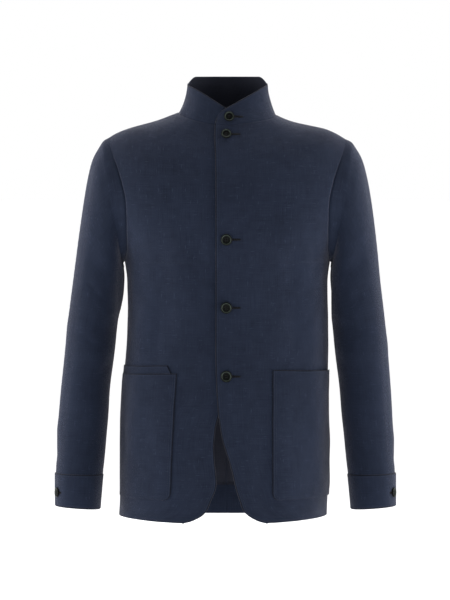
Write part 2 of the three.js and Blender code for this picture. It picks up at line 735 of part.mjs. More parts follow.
const overFront = addCloth('front_left', panelGeometry(panels.frontLeft, 1));
addCloth('front_right', panelGeometry(panels.frontRight, -1));
addCloth('back_left', panelGeometry(panels.backLeft, 1));
addCloth('back_right', panelGeometry(panels.backRight, -1));
addCloth('sleeve_left', sleeveGeometry(1));
addCloth('sleeve_right', sleeveGeometry(-1));
const cuffs = {
  left: addCloth('cuff_left', cuffGeometry(1), 1.08),
  right: addCloth('cuff_right', cuffGeometry(-1), 1.08),
};
const collar = addCloth('collar', collarGeometry(), 0.95);
addCloth('pocket_left', pocketGeometry(panels.frontLeft, POCKETS.left, 1), 1.08);
addCloth('pocket_right', pocketGeometry(panels.frontRight, POCKETS.right, -1), 1.08);
addCloth('pocket_flap_right', flapGeometry(panels.frontRight, POCKETS.right, -1), 1.15);

const FRONT_VIEWPOINT = -600;
const backwards = new THREE.Vector3(0, 1, 0);
Object.entries(FRONT_BUTTON_HEIGHTS).forEach(([place, z]) => {
  const from = new THREE.Vector3(0, FRONT_VIEWPOINT, z);
  blazer.add(seatButton(`button_${place}`, FRONT_BUTTON_RADIUS, overFront, from, backwards));
});
blazer.add(seatButton(
  'button_neck',
  SMALL_BUTTON_RADIUS,
  overFront,
  new THREE.Vector3(NECK_BUTTON.x, FRONT_VIEWPOINT, NECK_BUTTON.z),
  backwards,
));
blazer.add(seatButton(
  'button_collar',
  SMALL_BUTTON_RADIUS,
  collar,
  new THREE.Vector3(COLLAR_BUTTON.x, FRONT_VIEWPOINT, COLLAR_BUTTON.z),
  backwards,
));
Object.entries({ left: 1, right: -1 }).forEach(([place, side]) => {
  const from = new THREE.Vector3(side * -FRONT_VIEWPOINT, CUFF_BUTTON.y, CUFF_BUTTON.z);
  const inwards = new THREE.Vector3(-side, 0, 0);
  blazer.add(seatButton(`button_cuff_${place}`, CUFF_BUTTON_RADIUS, cuffs[place], from, inwards));
});

export default blazer;
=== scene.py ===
"""A navy blazer with a stand collar and patch pockets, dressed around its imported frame.

Sizes are millimetres unless a name says otherwise. +Z is up, +X is the wearer's left and
the front faces -Y. Meshes are written in metres.
"""
import logging
import math
from collections.abc import Callable
from dataclasses import dataclass, field
from enum import Enum

import bpy
import numpy as np
from mathutils import Matrix, Vector


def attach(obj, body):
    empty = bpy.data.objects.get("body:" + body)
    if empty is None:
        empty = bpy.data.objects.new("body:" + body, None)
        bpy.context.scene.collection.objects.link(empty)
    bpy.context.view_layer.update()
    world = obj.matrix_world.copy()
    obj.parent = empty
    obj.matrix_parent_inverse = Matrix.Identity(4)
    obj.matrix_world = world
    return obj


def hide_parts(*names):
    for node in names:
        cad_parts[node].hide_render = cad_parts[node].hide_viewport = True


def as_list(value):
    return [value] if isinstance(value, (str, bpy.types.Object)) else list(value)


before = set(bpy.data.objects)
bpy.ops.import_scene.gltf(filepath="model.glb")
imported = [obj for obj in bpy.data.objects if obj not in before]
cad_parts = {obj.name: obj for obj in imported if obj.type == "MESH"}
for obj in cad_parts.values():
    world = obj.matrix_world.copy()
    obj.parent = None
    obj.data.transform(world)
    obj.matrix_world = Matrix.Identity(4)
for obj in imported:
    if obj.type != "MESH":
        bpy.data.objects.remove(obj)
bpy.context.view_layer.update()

MM = 0.001
QUARTER_TURN = math.pi / 2
HALF_TURN = math.pi
LOG = logging.getLogger("blazer")


class Side(Enum):
    """The wearer's side that a piece belongs to. The value is the sign of its X."""

    LEFT = 1
    RIGHT = -1

    @property
    def label(self) -> str:
        """The word used in piece names."""
        return self.name.lower()


class Part(Enum):
    """Which half of the body a panel covers."""

    FRONT = "front"
    BACK = "back"


class Lap(Enum):
    """How a front lies at the overlap."""

    UNDER = "under"
    OVER = "over"


def ease(value: np.ndarray, start: float, end: float) -> np.ndarray:
    """Runs smoothly from 0 at start to 1 at end."""
    part = np.clip((value - start) / (end - start), 0.0, 1.0)
    return part * part * (3 - 2 * part)


def bell(distance: np.ndarray, spread: float) -> np.ndarray:
    """A soft bump, 1 in the middle and nearly 0 beyond twice the spread."""
    return np.exp(-((distance / spread) ** 2))


def unit(vectors: np.ndarray) -> np.ndarray:
    """The same directions with length 1."""
    length = np.linalg.norm(vectors, axis=-1, keepdims=True)
    return vectors / np.maximum(length, 1e-9)


def plain_mesh(name: str, points: np.ndarray | list, faces: list[tuple[int, ...]],
               edges: list[tuple[int, int]] | None = None) -> bpy.types.Mesh:
    """A mesh of points with its faces or edges."""
    mesh = bpy.data.meshes.new(name)
    mesh.from_pydata([tuple(point) for point in points], edges or [], faces)
    return mesh


def put_out(name: str, data: bpy.types.ID) -> bpy.types.Object:
    """A mesh, camera or light set in the scene as an object of that name."""
    made = bpy.data.objects.new(name, data)
    bpy.context.scene.collection.objects.link(made)
    return made


def stations_between(low: float, high: float, pitch: float,
                     low_steps: tuple[float, ...] = (0.0,),
                     high_steps: tuple[float, ...] = (0.0,)) -> np.ndarray:
    """Places from low to high about a pitch apart, closer together towards either end.

    Args:
        low: The first place.
        high: The last place.
        pitch: The usual distance between two places.
        low_steps: Distances of the closer places from the low end, starting at 0.
        high_steps: Distances of the closer places from the high end, starting at 0.

    Returns:
        The places, rising.
    """
    start, stop = low + low_steps[-1], high - high_steps[-1]
    count = max(2, int(round((stop - start) / pitch)) + 1)
    inner = np.linspace(start, stop, count)
    first = [low + step for step in low_steps[:-1]]
    last = [high - step for step in reversed(high_steps[:-1])]
    return np.concatenate([first, inner, last])


class SmoothTable:
    """A table whose columns run smoothly between its rows. The first column is the key."""

    def __init__(self, columns: tuple[str, ...], rows: tuple[tuple[float, ...], ...]) -> None:
        """Keeps the rows, whose key rises from row to row."""
        self.columns = columns
        self.rows = np.array(rows, float)
        before = np.maximum(np.arange(len(rows)) - 1, 0)
        after = np.minimum(np.arange(len(rows)) + 1, len(rows) - 1)
        run = self.rows[after, :1] - self.rows[before, :1]
        self.slopes = (self.rows[after] - self.rows[before]) / run

    def at(self, key: np.ndarray) -> dict[str, np.ndarray]:
        """The columns at each key.

        Args:
            key: Values of the first column.

        Returns:
            Each column's name with its values, in the key's own shape.
        """
        keys = self.rows[:, 0]
        held = np.clip(np.asarray(key, float), keys[0], keys[-1])
        i = np.clip(np.searchsorted(keys, held, side="right") - 1, 0, len(keys) - 2)
        span = keys[i + 1] - keys[i]
        t = (held - keys[i]) / span
        rise = t * t * (3 - 2 * t)
        found = {}
        for c, name in enumerate(self.columns):
            level = self.rows[i, c] * (1 - rise) + self.rows[i + 1, c] * rise
            leaving = self.slopes[i, c] * span * t * (1 - t) ** 2
            arriving = self.slopes[i + 1, c] * span * t * t * (t - 1)
            found[name] = level + leaving + arriving
        return found


@dataclass(frozen=True)
class Crease:
    """A soft trough, or a ridge where depth is positive.

    around is in degrees and level in the form's own measure along its length. width and
    length are half sizes in those measures. lean moves the crease round as it runs along,
    and tilt moves it along as it runs round.
    """

    around: float
    level: float
    width: float
    length: float
    depth: float
    lean: float = 0.0
    tilt: float = 0.0

    def height(self, around: np.ndarray, level: np.ndarray) -> np.ndarray:
        """How far the crease moves the cloth out at each place."""
        turned = (around - self.around + 180.0) % 360.0 - 180.0
        along = level - self.level
        across = turned - self.lean * along
        return self.depth * bell(across, self.width) * bell(along - self.tilt * turned, self.length)


@dataclass(frozen=True)
class Hang:
    """How the jacket hangs a little to one side, and drops beside the neck."""

    sway: SmoothTable = SmoothTable(
        ("z", "body", "inside", "outside"),
        (
            (-720, -7, -1.4, -1.4),
            (-680, -5.3, -1.4, -1.4),
            (-640, -4.2, -1.6, -1.6),
            (-560, -3.4, -1.9, -1.6),
            (-490, -1.6, -2.7, -0.8),
            (-430, 0.6, -2.6, 0.1),
            (-364, 2.8, -2.4, 0.4),
            (-300, 2, -1.8, 0.6),
            (-240, 2, 1.6, 1.6),
            (-150, 2.3, 2.3, 2.3),
            (-60, 1.5, 1.8, 1.8),
            (0, 2, 2, 2),
            (60, 2.1, 2.1, 2.1),
        ),
    )
    body_reach: float = 140.0
    collar_reach: float = 50.0
    reach_from: float = -80.0
    reach_to: float = 0.0
    inside_from: float = 181.0
    inside_to: float = 187.0
    outside_from: float = 200.0
    outside_to: float = 265.0
    # x, spread, drop
    drops: tuple[tuple[float, ...], ...] = ((110, 50, 5.4), (208, 24, 3.6), (-132, 18, 0.9))
    # low, full, fade, end
    drop_band: tuple[float, ...] = (-75, -25, 0, 25)

    def settled(self, points: np.ndarray) -> np.ndarray:
        """Where points of the cloth come to lie as the jacket hangs."""
        x, y, z = points[..., 0], points[..., 1], points[..., 2]
        sway = self.sway.at(z)
        on_sleeve = ease(np.abs(x), self.inside_from, self.inside_to)
        outwards = ease(np.abs(x), self.outside_from, self.outside_to)
        inner = sway["body"] + (sway["inside"] - sway["body"]) * on_sleeve
        neck = ease(z, self.reach_from, self.reach_to)
        reach = self.body_reach + (self.collar_reach - self.body_reach) * neck
        share = np.clip(np.abs(x) / reach, 0, 1)
        shift = (inner + (sway["outside"] - inner) * outwards) * share**2 * (3 - 2 * share)
        low, full, fade, end = self.drop_band
        band = ease(z, low, full) * (1 - ease(z, fade, end))
        drop = sum(depth * bell(x - middle, spread) for middle, spread, depth in self.drops)
        return np.stack([x + shift, y, z - drop * band], -1)


HANG = Hang()


@dataclass(frozen=True)
class BodyForm:
    """The filled-out body of the jacket: level rings, soft drapes and creases."""

    rings: SmoothTable = SmoothTable(
        ("z", "half", "front", "back", "flat", "round"),
        (
            (-720, 182, 139, 130, 2.4, 2.3),
            (-640, 181.4, 137, 130, 2.4, 2.3),
            (-560, 181.2, 132, 125, 2.4, 2.3),
            (-460, 178.4, 125, 111, 2.4, 2.3),
            (-380, 175.9, 122, 103, 2.4, 2.3),
            (-300, 175, 124, 104, 2.4, 2.3),
            (-265, 179, 127, 108, 2.4, 2.3),
            (-240, 185.4, 130.5, 111.5, 2.4, 2.28),
            (-215, 197, 133, 115, 2.4, 2.25),
            (-180, 212.5, 132, 118, 2.4, 2.2),
            (-149, 223, 129, 119, 2.4, 2.15),
            (-122, 229, 124, 118, 2.4, 2.05),
            (-84, 228, 113, 112, 2.3, 1.9),
            (-60, 219, 103, 104, 2.25, 1.75),
            (-45, 206, 95, 96, 2.2, 1.65),
            (-33, 184, 88, 89, 2.2, 1.6),
            (-20, 143, 81.5, 80, 2.2, 1.6),
            (-10, 109, 77.5, 71, 2.15, 1.7),
            (0, 84, 75, 60, 2.1, 1.9),
            (8, 78, 73, 52, 2.1, 2),
        ),
    )
    widest_radius: float = 400.0
    halvings: int = 30
    normal_turn: float = 0.004
    normal_rise: float = 0.8
    drape_fade: float = 0.25
    # angle, spread, top, foot, depth
    drapes: tuple[tuple[float, ...], ...] = (
        (47, 7, -190, -430, -2.6),
        (62, 6, -260, -640, 2.0),
        (28, 8, -500, -720, -1.8),
        (118, 7, -230, -560, -2.6),
        (134, 6, -300, -720, 2.2),
        (162, 8, -260, -690, -2.4),
    )
    creases: tuple[Crease, ...] = (
        Crease(-52, -395, 3.2, 52, -1.5),
        Crease(50, -388, 3.0, 44, -1.2, lean=0.01),
        Crease(-64, -262, 5.0, 30, -1.7, lean=0.12),
        Crease(-70, -300, 4.0, 36, 1.3, lean=0.10),
        Crease(63, -256, 5.5, 27, -1.6, lean=-0.13),
        Crease(69, -292, 4.0, 33, 1.2, lean=-0.10),
        Crease(-83, -6, 15, 5.0, 1.8),
        Crease(84, -28, 10, 3.6, 1.5),
        Crease(66, -52, 9, 10, 1.4, tilt=-0.9),
        Crease(58, -70, 8, 9, -1.2, tilt=-0.9),
        Crease(-61, -44, 8, 9, 1.2, tilt=0.9),
        Crease(-34, -604, 7, 50, 1.5, lean=0.02),
        Crease(36, -585, 6, 62, 1.3, lean=-0.03),
        Crease(-74, -560, 5, 66, -1.6, lean=-0.02),
        Crease(76, -590, 5, 54, -1.4, lean=0.02),
        Crease(14, -300, 7, 48, 0.7),
        Crease(-21, -262, 6, 60, -0.8),
        Crease(150, -395, 24, 8, -1.8, tilt=0.25),
        Crease(-147, -412, 27, 9, -2.0, tilt=-0.3),
        Crease(-158, -372, 20, 8, 1.4, tilt=-0.2),
        Crease(160, -425, 18, 8, 1.5, tilt=0.2),
        Crease(122, -236, 5, 40, -2.2, lean=-0.16),
        Crease(-120, -228, 5, 46, -2.3, lean=0.15),
        Crease(128, -275, 5, 34, 1.6, lean=-0.14),
        Crease(-129, -262, 5, 42, 1.7, lean=0.13),
        Crease(152, -120, 8, 60, 1.3, lean=0.05),
        Crease(-149, -132, 8, 66, 1.4, lean=-0.05),
        Crease(171, -40, 16, 7, 1.4),
        Crease(-168, -54, 18, 7, -1.2),
        Crease(147, -630, 7, 74, 1.6, lean=0.01),
        Crease(-151, -612, 7, 88, 1.9, lean=-0.02),
        Crease(-170, -590, 5, 96, -1.3),
    )
    # cycles round, cycles per metre up, start in turns, height
    ripples: tuple[tuple[float, ...], ...] = (
        (7, 4.1, 0.13, 0.30),
        (11, -7.3, 0.41, 0.22),
        (19, 12.7, 0.77, 0.14),
        (31, -17.9, 0.29, 0.10),
    )
    neck_dip: float = -21.0
    neck_back_rise: float = 6.0
    neck_bend_from: float = -150.0
    hem: float = -712.5
    hem_side_rise: float = 8.2
    hem_power: float = 3.0
    hem_back_rise: float = 1.6
    hem_bend_to: float = -640.0
    sag_level: float = -447.0
    sag_reach: float = 45.0
    sag_drop: float = 5.0
    lap_lift: float = 2.6
    lap_full: float = 30.0
    lap_none: float = 85.0
    tuck_depth: float = 3.2
    tuck_middle: float = -6.0
    tuck_spread: float = 20.0

    def radius(self, around: np.ndarray, z: np.ndarray) -> np.ndarray:
        """Distance of the smooth ring from the middle axis.

        Args:
            around: Angle from the front middle, in radians.
            z: Height.

        Returns:
            The radius at each place.
        """
        ring = self.rings.at(z)
        forward = np.cos(around)
        across = np.abs(np.sin(around)) / ring["half"]
        along = np.abs(forward) / np.where(forward > 0, ring["front"], ring["back"])
        low, high = np.zeros_like(across), np.full_like(across, self.widest_radius)
        for _ in range(self.halvings):
            middle = (low + high) / 2
            reach = (across * middle) ** ring["flat"] + (along * middle) ** ring["round"]
            low = np.where(reach < 1, middle, low)
            high = np.where(reach < 1, high, middle)
        return high

    def relief(self, around: np.ndarray, z: np.ndarray) -> np.ndarray:
        """How far drapes, creases and ripples move the cloth out of its ring."""
        degrees = np.degrees(around)
        total = np.zeros_like(degrees)
        for angle, spread, top, foot, depth in self.drapes:
            fade = (top - foot) * self.drape_fade
            begins = 1 - ease(z, top - fade, top)
            ends = 1.0 if foot < self.hem else ease(z, foot, foot + fade)
            total = total + depth * bell(np.abs(degrees) - angle, spread) * begins * ends
        for crease in self.creases:
            total = total + crease.height(degrees, z)
        for turns, climbs, start, height in self.ripples:
            phase = turns * around + 2 * math.pi * (climbs * z * MM + start)
            total = total + height * np.sin(phase)
        return total

    def bare_point(self, around: np.ndarray, z: np.ndarray) -> np.ndarray:
        """Points of the body's outer face, before any lap."""
        radius = self.radius(around, z) + self.relief(around, z)
        return np.stack([radius * np.sin(around), -radius * np.cos(around), z + 0 * radius], -1)

    def lift(self, x: np.ndarray, lap: Lap | None) -> np.ndarray:
        """How far a front's lap lies outside the body's own face."""
        if lap is Lap.OVER:
            return self.lap_lift * (1 - ease(x, self.lap_full, self.lap_none))
        if lap is Lap.UNDER:
            return -self.tuck_depth * bell(x - self.tuck_middle, self.tuck_spread)
        return np.zeros_like(x)

    def place(self, around: np.ndarray, z: np.ndarray,
              lap: Lap | None = None, side: Side = Side.LEFT) -> tuple[np.ndarray, np.ndarray]:
        """Points and outward directions of the cloth.

        Args:
            around: Angle from the front middle in radians, positive towards +X.
            z: Height.
            lap: How the piece lies at the overlap, or None away from it.
            side: The side that the piece belongs to.

        Returns:
            The points and their outward unit vectors.
        """
        turn, rise = self.normal_turn, self.normal_rise
        ahead = self.bare_point(around + turn, z) - self.bare_point(around - turn, z)
        above = self.bare_point(around, z + rise) - self.bare_point(around, z - rise)
        normals = unit(np.cross(ahead, above))
        points = self.bare_point(around, z)
        own_x = points[..., 0] * side.value
        return points + normals * self.lift(own_x, lap)[..., None], normals

    def angle_at(self, x: np.ndarray, z: np.ndarray) -> np.ndarray:
        """The angle from the front middle of a place x to the side, on the front."""
        ring = self.rings.at(z)
        part = 1 - (np.abs(x) / ring["half"]) ** ring["flat"]
        return np.arctan2(x, ring["front"] * part ** (1 / ring["round"]))

    def bend(self, around: np.ndarray, z: np.ndarray) -> np.ndarray:
        """How far a level row is moved up or down at the neck, the pockets and the hem."""
        forward = np.cos(around)
        neck = np.where(forward > 0, self.neck_dip, self.neck_back_rise) * forward**2
        side = np.abs(np.sin(around)) ** self.hem_power
        hem = self.hem_side_rise * side + np.where(forward < 0, self.hem_back_rise * (1 - side), 0)
        low = 1 - ease(z, self.hem, self.hem_bend_to)
        sag = self.sag_drop * bell(z - self.sag_level, self.sag_reach) * side
        return neck * ease(z, self.neck_bend_from, 0) + hem * low - sag


@dataclass(frozen=True)
class Armhole:
    """The seam between sleeve and body. Step 0 is the shoulder, 5 the front, 10 the armpit."""

    body: BodyForm
    top: float = -45.0
    foot: float = -262.0
    middle: float = -150.0
    reach_front: float = 86.0
    reach_back: float = 74.0
    crown: float = 1.65
    base: float = 2.0
    half_steps: int = 10
    spread: float = 0.82

    def heights(self, step: np.ndarray) -> np.ndarray:
        """Height of the seam at each step, counted down from the shoulder on either half."""
        fall = ((1 - np.cos(HALF_TURN * step / self.half_steps)) / 2) ** self.spread
        return self.top + (self.foot - self.top) * fall

    def angles(self, step: np.ndarray, behind: np.ndarray) -> np.ndarray:
        """Own-side angle of the seam round the body at each step of a half."""
        z = self.heights(step)
        above = z > self.middle
        part = (z - self.middle) / (np.where(above, self.top, self.foot) - self.middle)
        square = np.where(above, self.crown, self.base)
        reach = np.where(behind, self.reach_back, self.reach_front)
        y = reach * np.maximum(0.0, 1 - part**square) ** (1 / square)
        ring = self.body.rings.at(z)
        depth = np.where(behind, ring["back"], ring["front"])
        x = ring["half"] * (1 - (y / depth) ** ring["round"]) ** (1 / ring["flat"])
        return np.arctan2(x, np.where(behind, -y, y))

    def loop(self, steps: np.ndarray, side: Side) -> tuple[np.ndarray, np.ndarray]:
        """The whole seam.

        Args:
            steps: Places from 0 at the shoulder over the front and armpit to 20.
            side: The side that the seam is on.

        Returns:
            The points and the body's outward directions there.
        """
        around = steps % (2 * self.half_steps)
        behind = around > self.half_steps
        step = np.where(behind, 2 * self.half_steps - around, around)
        angles = self.angles(step, behind) * side.value
        return self.body.place(angles, self.heights(step))


@dataclass
class ClothGrid:
    """A sheet of cloth as a grid: its outer points, the way out, and its place on the cut."""

    points: np.ndarray
    normals: np.ndarray
    flat: np.ndarray
    closed: bool = False
    edge: np.ndarray | None = None

    @classmethod
    def of_points(cls, points: np.ndarray, outward: np.ndarray,
                  closed: bool = False) -> "ClothGrid":
        """A grid whose cut and directions are worked out from its points.

        Args:
            points: The outer points, by row and column.
            outward: Rough outward directions at the points.
            closed: True where the last column joins the first.

        Returns:
            The grid.
        """
        wrapped = np.concatenate([points, points[:, :1]], 1) if closed else points
        across = np.linalg.norm(np.diff(wrapped, axis=1), axis=-1)
        up = np.linalg.norm(np.diff(wrapped, axis=0), axis=-1)
        u = np.concatenate([np.zeros((len(points), 1)), np.cumsum(across, 1)], 1)
        u = u - u[:, -1:] / 2 if closed else u
        v = np.concatenate([np.zeros((1, wrapped.shape[1])), np.cumsum(up, 0)], 0)
        flat = np.stack([u, np.broadcast_to(v.mean(1, keepdims=True), u.shape)], -1)
        grid = cls(points, outward, flat, closed)
        grid.normals = grid.face_directions(outward)
        return grid

    def face_directions(self, outward: np.ndarray) -> np.ndarray:
        """Unit normals from neighbouring points, on the same side as outward."""
        if self.closed:
            ahead = np.roll(self.points, -1, 1) - np.roll(self.points, 1, 1)
        else:
            ahead = np.gradient(self.points, axis=1)
        normals = unit(np.cross(ahead, np.gradient(self.points, axis=0)))
        same = np.sum(normals * outward, -1, keepdims=True)
        return np.where(same < 0, -normals, normals)

    def row_lengths(self) -> tuple[np.ndarray, np.ndarray]:
        """Distance of each point from its row's first and last point."""
        start = self.flat[..., 0] - self.flat[:, :1, 0]
        return start, start[:, -1:] - start

    def column_lengths(self) -> tuple[np.ndarray, np.ndarray]:
        """Distance of each point from its column's first and last point."""
        step = np.linalg.norm(np.diff(self.points, axis=0), axis=-1)
        rise = np.concatenate([np.zeros((1, step.shape[1])), np.cumsum(step, 0)], 0)
        return rise, rise[-1:] - rise

    def moved(self, distance: np.ndarray | float) -> "ClothGrid":
        """The same cloth moved along its outward directions."""
        shift = np.broadcast_to(distance, self.points.shape[:2])[..., None]
        return ClothGrid(self.points + self.normals * shift, self.normals, self.flat,
                         self.closed, self.edge)

    def area(self) -> float:
        """Area of the cloth in square millimetres."""
        wrapped = np.concatenate([self.points, self.points[:, :1]], 1) if self.closed else self.points
        across = wrapped[:-1, 1:] - wrapped[:-1, :-1]
        up = wrapped[1:, :-1] - wrapped[:-1, :-1]
        return float(np.linalg.norm(np.cross(across, up), axis=-1).sum())


@dataclass
class Shell:
    """A thin closed wall made from a grid of cloth, with rounded edges."""

    name: str
    grid: ClothGrid
    wall: np.ndarray | float
    face: bpy.types.Material
    inside: bpy.types.Material
    lined: np.ndarray | None = None
    rim_bulge: float = 0.45
    far_from_edge: float = 99.0

    def build(self) -> "CutPiece":
        """Makes the shell's mesh object.

        Returns:
            The piece, with its cut as a UV map in metres and its edge distance as edge_mm.
        """
        grid = self.grid
        grid.points = HANG.settled(grid.points)
        rows, columns = grid.points.shape[:2]
        wall = np.broadcast_to(self.wall, (rows, columns))[..., None]
        inner = grid.points - grid.normals * wall
        points = [grid.points.reshape(-1, 3), inner.reshape(-1, 3)]
        away = np.full((rows, columns), self.far_from_edge)
        edges = [(away if grid.edge is None else grid.edge).ravel(), away.ravel()]
        faces = [self._faces(rows, columns)]
        for loop in self._rims(rows, columns):
            faces.append(self._rim_faces(loop, sum(len(p) for p in points)))
            points.append(self._rim_points(loop, inner, wall))
            edges.append(np.zeros(len(points[-1])))
        quads, flats, slots = (np.concatenate(part) for part in zip(*faces))
        made = self._object(np.concatenate(points), np.concatenate(edges), quads, flats, slots)
        return CutPiece(made, self.name.removesuffix("_cloth"), grid)

    def _faces(self, rows: int, columns: int) -> tuple[np.ndarray, np.ndarray, np.ndarray]:
        """The outer and inner faces, with their places on the cut and their materials."""
        spans = columns if self.grid.closed else columns - 1
        i, j = (index.ravel() for index in np.mgrid[:rows - 1, :spans])
        up, along = np.stack([i, i, i + 1, i + 1], 1), np.stack([j, j + 1, j + 1, j], 1)
        corners, flats = up * columns + along % columns, self.grid.flat[up, along]
        quads = np.stack([corners, corners[:, ::-1] + rows * columns], 1)
        lined = np.ones(rows - 1, bool) if self.lined is None else self.lined
        slots = np.stack([0 * i, lined[i].astype(int)], 1)
        both = np.stack([flats, flats[:, ::-1]], 1)
        return quads.reshape(-1, 4), both.reshape(-1, 4, 2), slots.ravel()

    def _rims(self, rows: int, columns: int) -> list[np.ndarray]:
        """The edge loops, as rows and columns: foot, last column, top and first column."""
        foot = [(0, j) for j in range(columns)]
        if self.grid.closed:
            return [np.array(foot).T, np.array([(rows - 1, j) for _, j in reversed(foot)]).T]
        last = [(i, columns - 1) for i in range(1, rows)]
        top = [(rows - 1, j) for j in range(columns - 2, -1, -1)]
        first = [(i, 0) for i in range(rows - 2, 0, -1)]
        return [np.array(foot + last + top + first).T]

    def _rim_points(self, loop: np.ndarray, inner: np.ndarray, wall: np.ndarray) -> np.ndarray:
        """Points halfway through the wall, pushed out past the edge to round it."""
        outer = self.grid.points
        rows, columns = outer.shape[:2]
        i, j = loop
        beside = j if self.grid.closed else np.clip(j, 1, columns - 2)
        away = unit(outer[i, j] - outer[np.clip(i, 1, rows - 2), j])
        away = away + unit(outer[i, j] - outer[i, beside])
        return (outer[i, j] + inner[i, j]) / 2 + unit(away) * wall[i, j] * self.rim_bulge

    def _rim_faces(self, loop: np.ndarray, first: int) -> tuple[np.ndarray, np.ndarray, np.ndarray]:
        """The faces that join the outer and inner ones over a rim loop."""
        rows, columns = self.grid.points.shape[:2]
        i, j = loop
        here, rim, flat = i * columns + j, first + np.arange(len(i)), self.grid.flat[i, j]
        there, rim_there, flat_there = (np.roll(value, -1, 0) for value in (here, rim, flat))
        behind = rows * columns
        over = np.stack([there, here, rim, rim_there], 1)
        under = np.stack([rim_there, rim, here + behind, there + behind], 1)
        quads = np.stack([over, under], 1).reshape(-1, 4)
        flats = np.repeat(np.stack([flat_there, flat, flat, flat_there], 1), 2, 0)
        return quads, flats, np.zeros(len(quads), int)

    def _object(self, points: np.ndarray, edges: np.ndarray, quads: np.ndarray,
                flats: np.ndarray, slots: np.ndarray) -> bpy.types.Object:
        """Writes the mesh, with its faces pointing out."""
        a, b, c = points[0], points[1], points[self.grid.points.shape[1]]
        if np.dot(np.cross(b - a, c - a), self.grid.normals[0, 0]) < 0:
            quads, flats = quads[:, ::-1], flats[:, ::-1]
        mesh = plain_mesh(self.name, points * MM, quads.tolist())
        mesh.uv_layers.new(name="cut").data.foreach_set(
            "uv", (flats * MM).astype(np.float32).ravel())
        mesh.attributes.new("edge_mm", "FLOAT", "POINT").data.foreach_set(
            "value", edges.astype(np.float32))
        mesh.polygons.foreach_set("material_index", slots)
        mesh.polygons.foreach_set("use_smooth", [True] * len(quads))
        mesh.materials.append(self.face)
        mesh.materials.append(self.inside)
        mesh.update()
        mesh.validate()
        return put_out(self.name, mesh)


@dataclass(frozen=True)
class Sewing:
    """How cloth turns in at a seam, and how close grid lines stand at edges and seams."""

    dip: float = 1.3
    width: float = 3.4
    edge_steps: tuple[float, ...] = (0.0, 0.6, 1.2, 2.0, 2.8, 4.0, 6.0)
    seam_steps: tuple[float, ...] = (0.0, 0.8, 1.7, 2.8, 4.5)
    turned_wall: float = 2.3
    wall: float = 1.3
    turned_from: float = 5.0
    turned_to: float = 9.0
    crown_from: float = 1.4
    crown_to: float = 3.2

    def armhole_share(self, step: np.ndarray) -> np.ndarray:
        """Share of the seam's dip down the armhole: none over the shoulder."""
        return ease(step, self.crown_from, self.crown_to)

    def sink(self, distance: np.ndarray) -> np.ndarray:
        """Share of the seam's dip at a distance from it."""
        return 1 - ease(distance, 0.0, self.width)

    def thickness(self, distance: np.ndarray) -> np.ndarray:
        """Wall of the cloth, thicker where an edge is turned in."""
        turned = 1 - ease(distance, self.turned_from, self.turned_to)
        return self.wall + (self.turned_wall - self.wall) * turned


def column_places(length: np.ndarray, count: int, low_steps: tuple[float, ...],
                  high_steps: tuple[float, ...]) -> np.ndarray:
    """Places along rows of different lengths, with the same number in each.

    Args:
        length: Each row's length.
        count: Number of evenly spread places between the steps.
        low_steps: Closer places at the row's start.
        high_steps: Closer places at the row's end.

    Returns:
        One row of places for each length.
    """
    share = np.linspace(0, 1, count)[None, :]
    start, stop = low_steps[-1], length[:, None] - high_steps[-1]
    inner = start + (stop - start) * share
    low = np.broadcast_to(np.array(low_steps[:-1]), (len(length), len(low_steps) - 1))
    high = length[:, None] - np.array(high_steps[:-1])[::-1][None, :]
    return np.concatenate([low, inner, high], 1)


def measured_rows(points: np.ndarray) -> np.ndarray:
    """Length along each row of points, from its first one."""
    step = np.linalg.norm(np.diff(points, axis=1), axis=-1)
    return np.concatenate([np.zeros((len(points), 1)), np.cumsum(step, 1)], 1)


@dataclass(frozen=True)
class Laying:
    """How the rows of a panel or pocket are laid over the body on one side."""

    body: BodyForm
    side: Side
    lap: Lap | None
    columns: int
    samples: int
    low_steps: tuple[float, ...]
    high_steps: tuple[float, ...]

    def rows(self, first: np.ndarray, last: np.ndarray | float,
             height: Callable[[np.ndarray], np.ndarray]) -> tuple[
                 ClothGrid, np.ndarray, np.ndarray, np.ndarray]:
        """Lays rows whose columns are evenly spread along the cloth.

        Args:
            first: Own-side angle at which each row begins.
            last: Own-side angle at which each row ends.
            height: Gives the heights along the rows at own-side angles.

        Returns:
            The grid, each point's place along its row, and closer samples of each row: the
            length so far and the own-side angle.
        """
        dense = first + (last - first) * np.linspace(0, 1, self.samples)[None, :]
        run = measured_rows(self._on_body(dense, height)[0])
        places = column_places(run[:, -1], self.columns, self.low_steps, self.high_steps)
        own = np.stack([np.interp(p, r, d) for p, r, d in zip(places, run, dense)])
        return ClothGrid.of_points(*self._on_body(own, height)), places, run, dense

    def _on_body(self, own: np.ndarray,
                 height: Callable[[np.ndarray], np.ndarray]) -> tuple[np.ndarray, np.ndarray]:
        """Points and outward directions at own-side angles."""
        return self.body.place(own * self.side.value, height(own), self.lap, self.side)


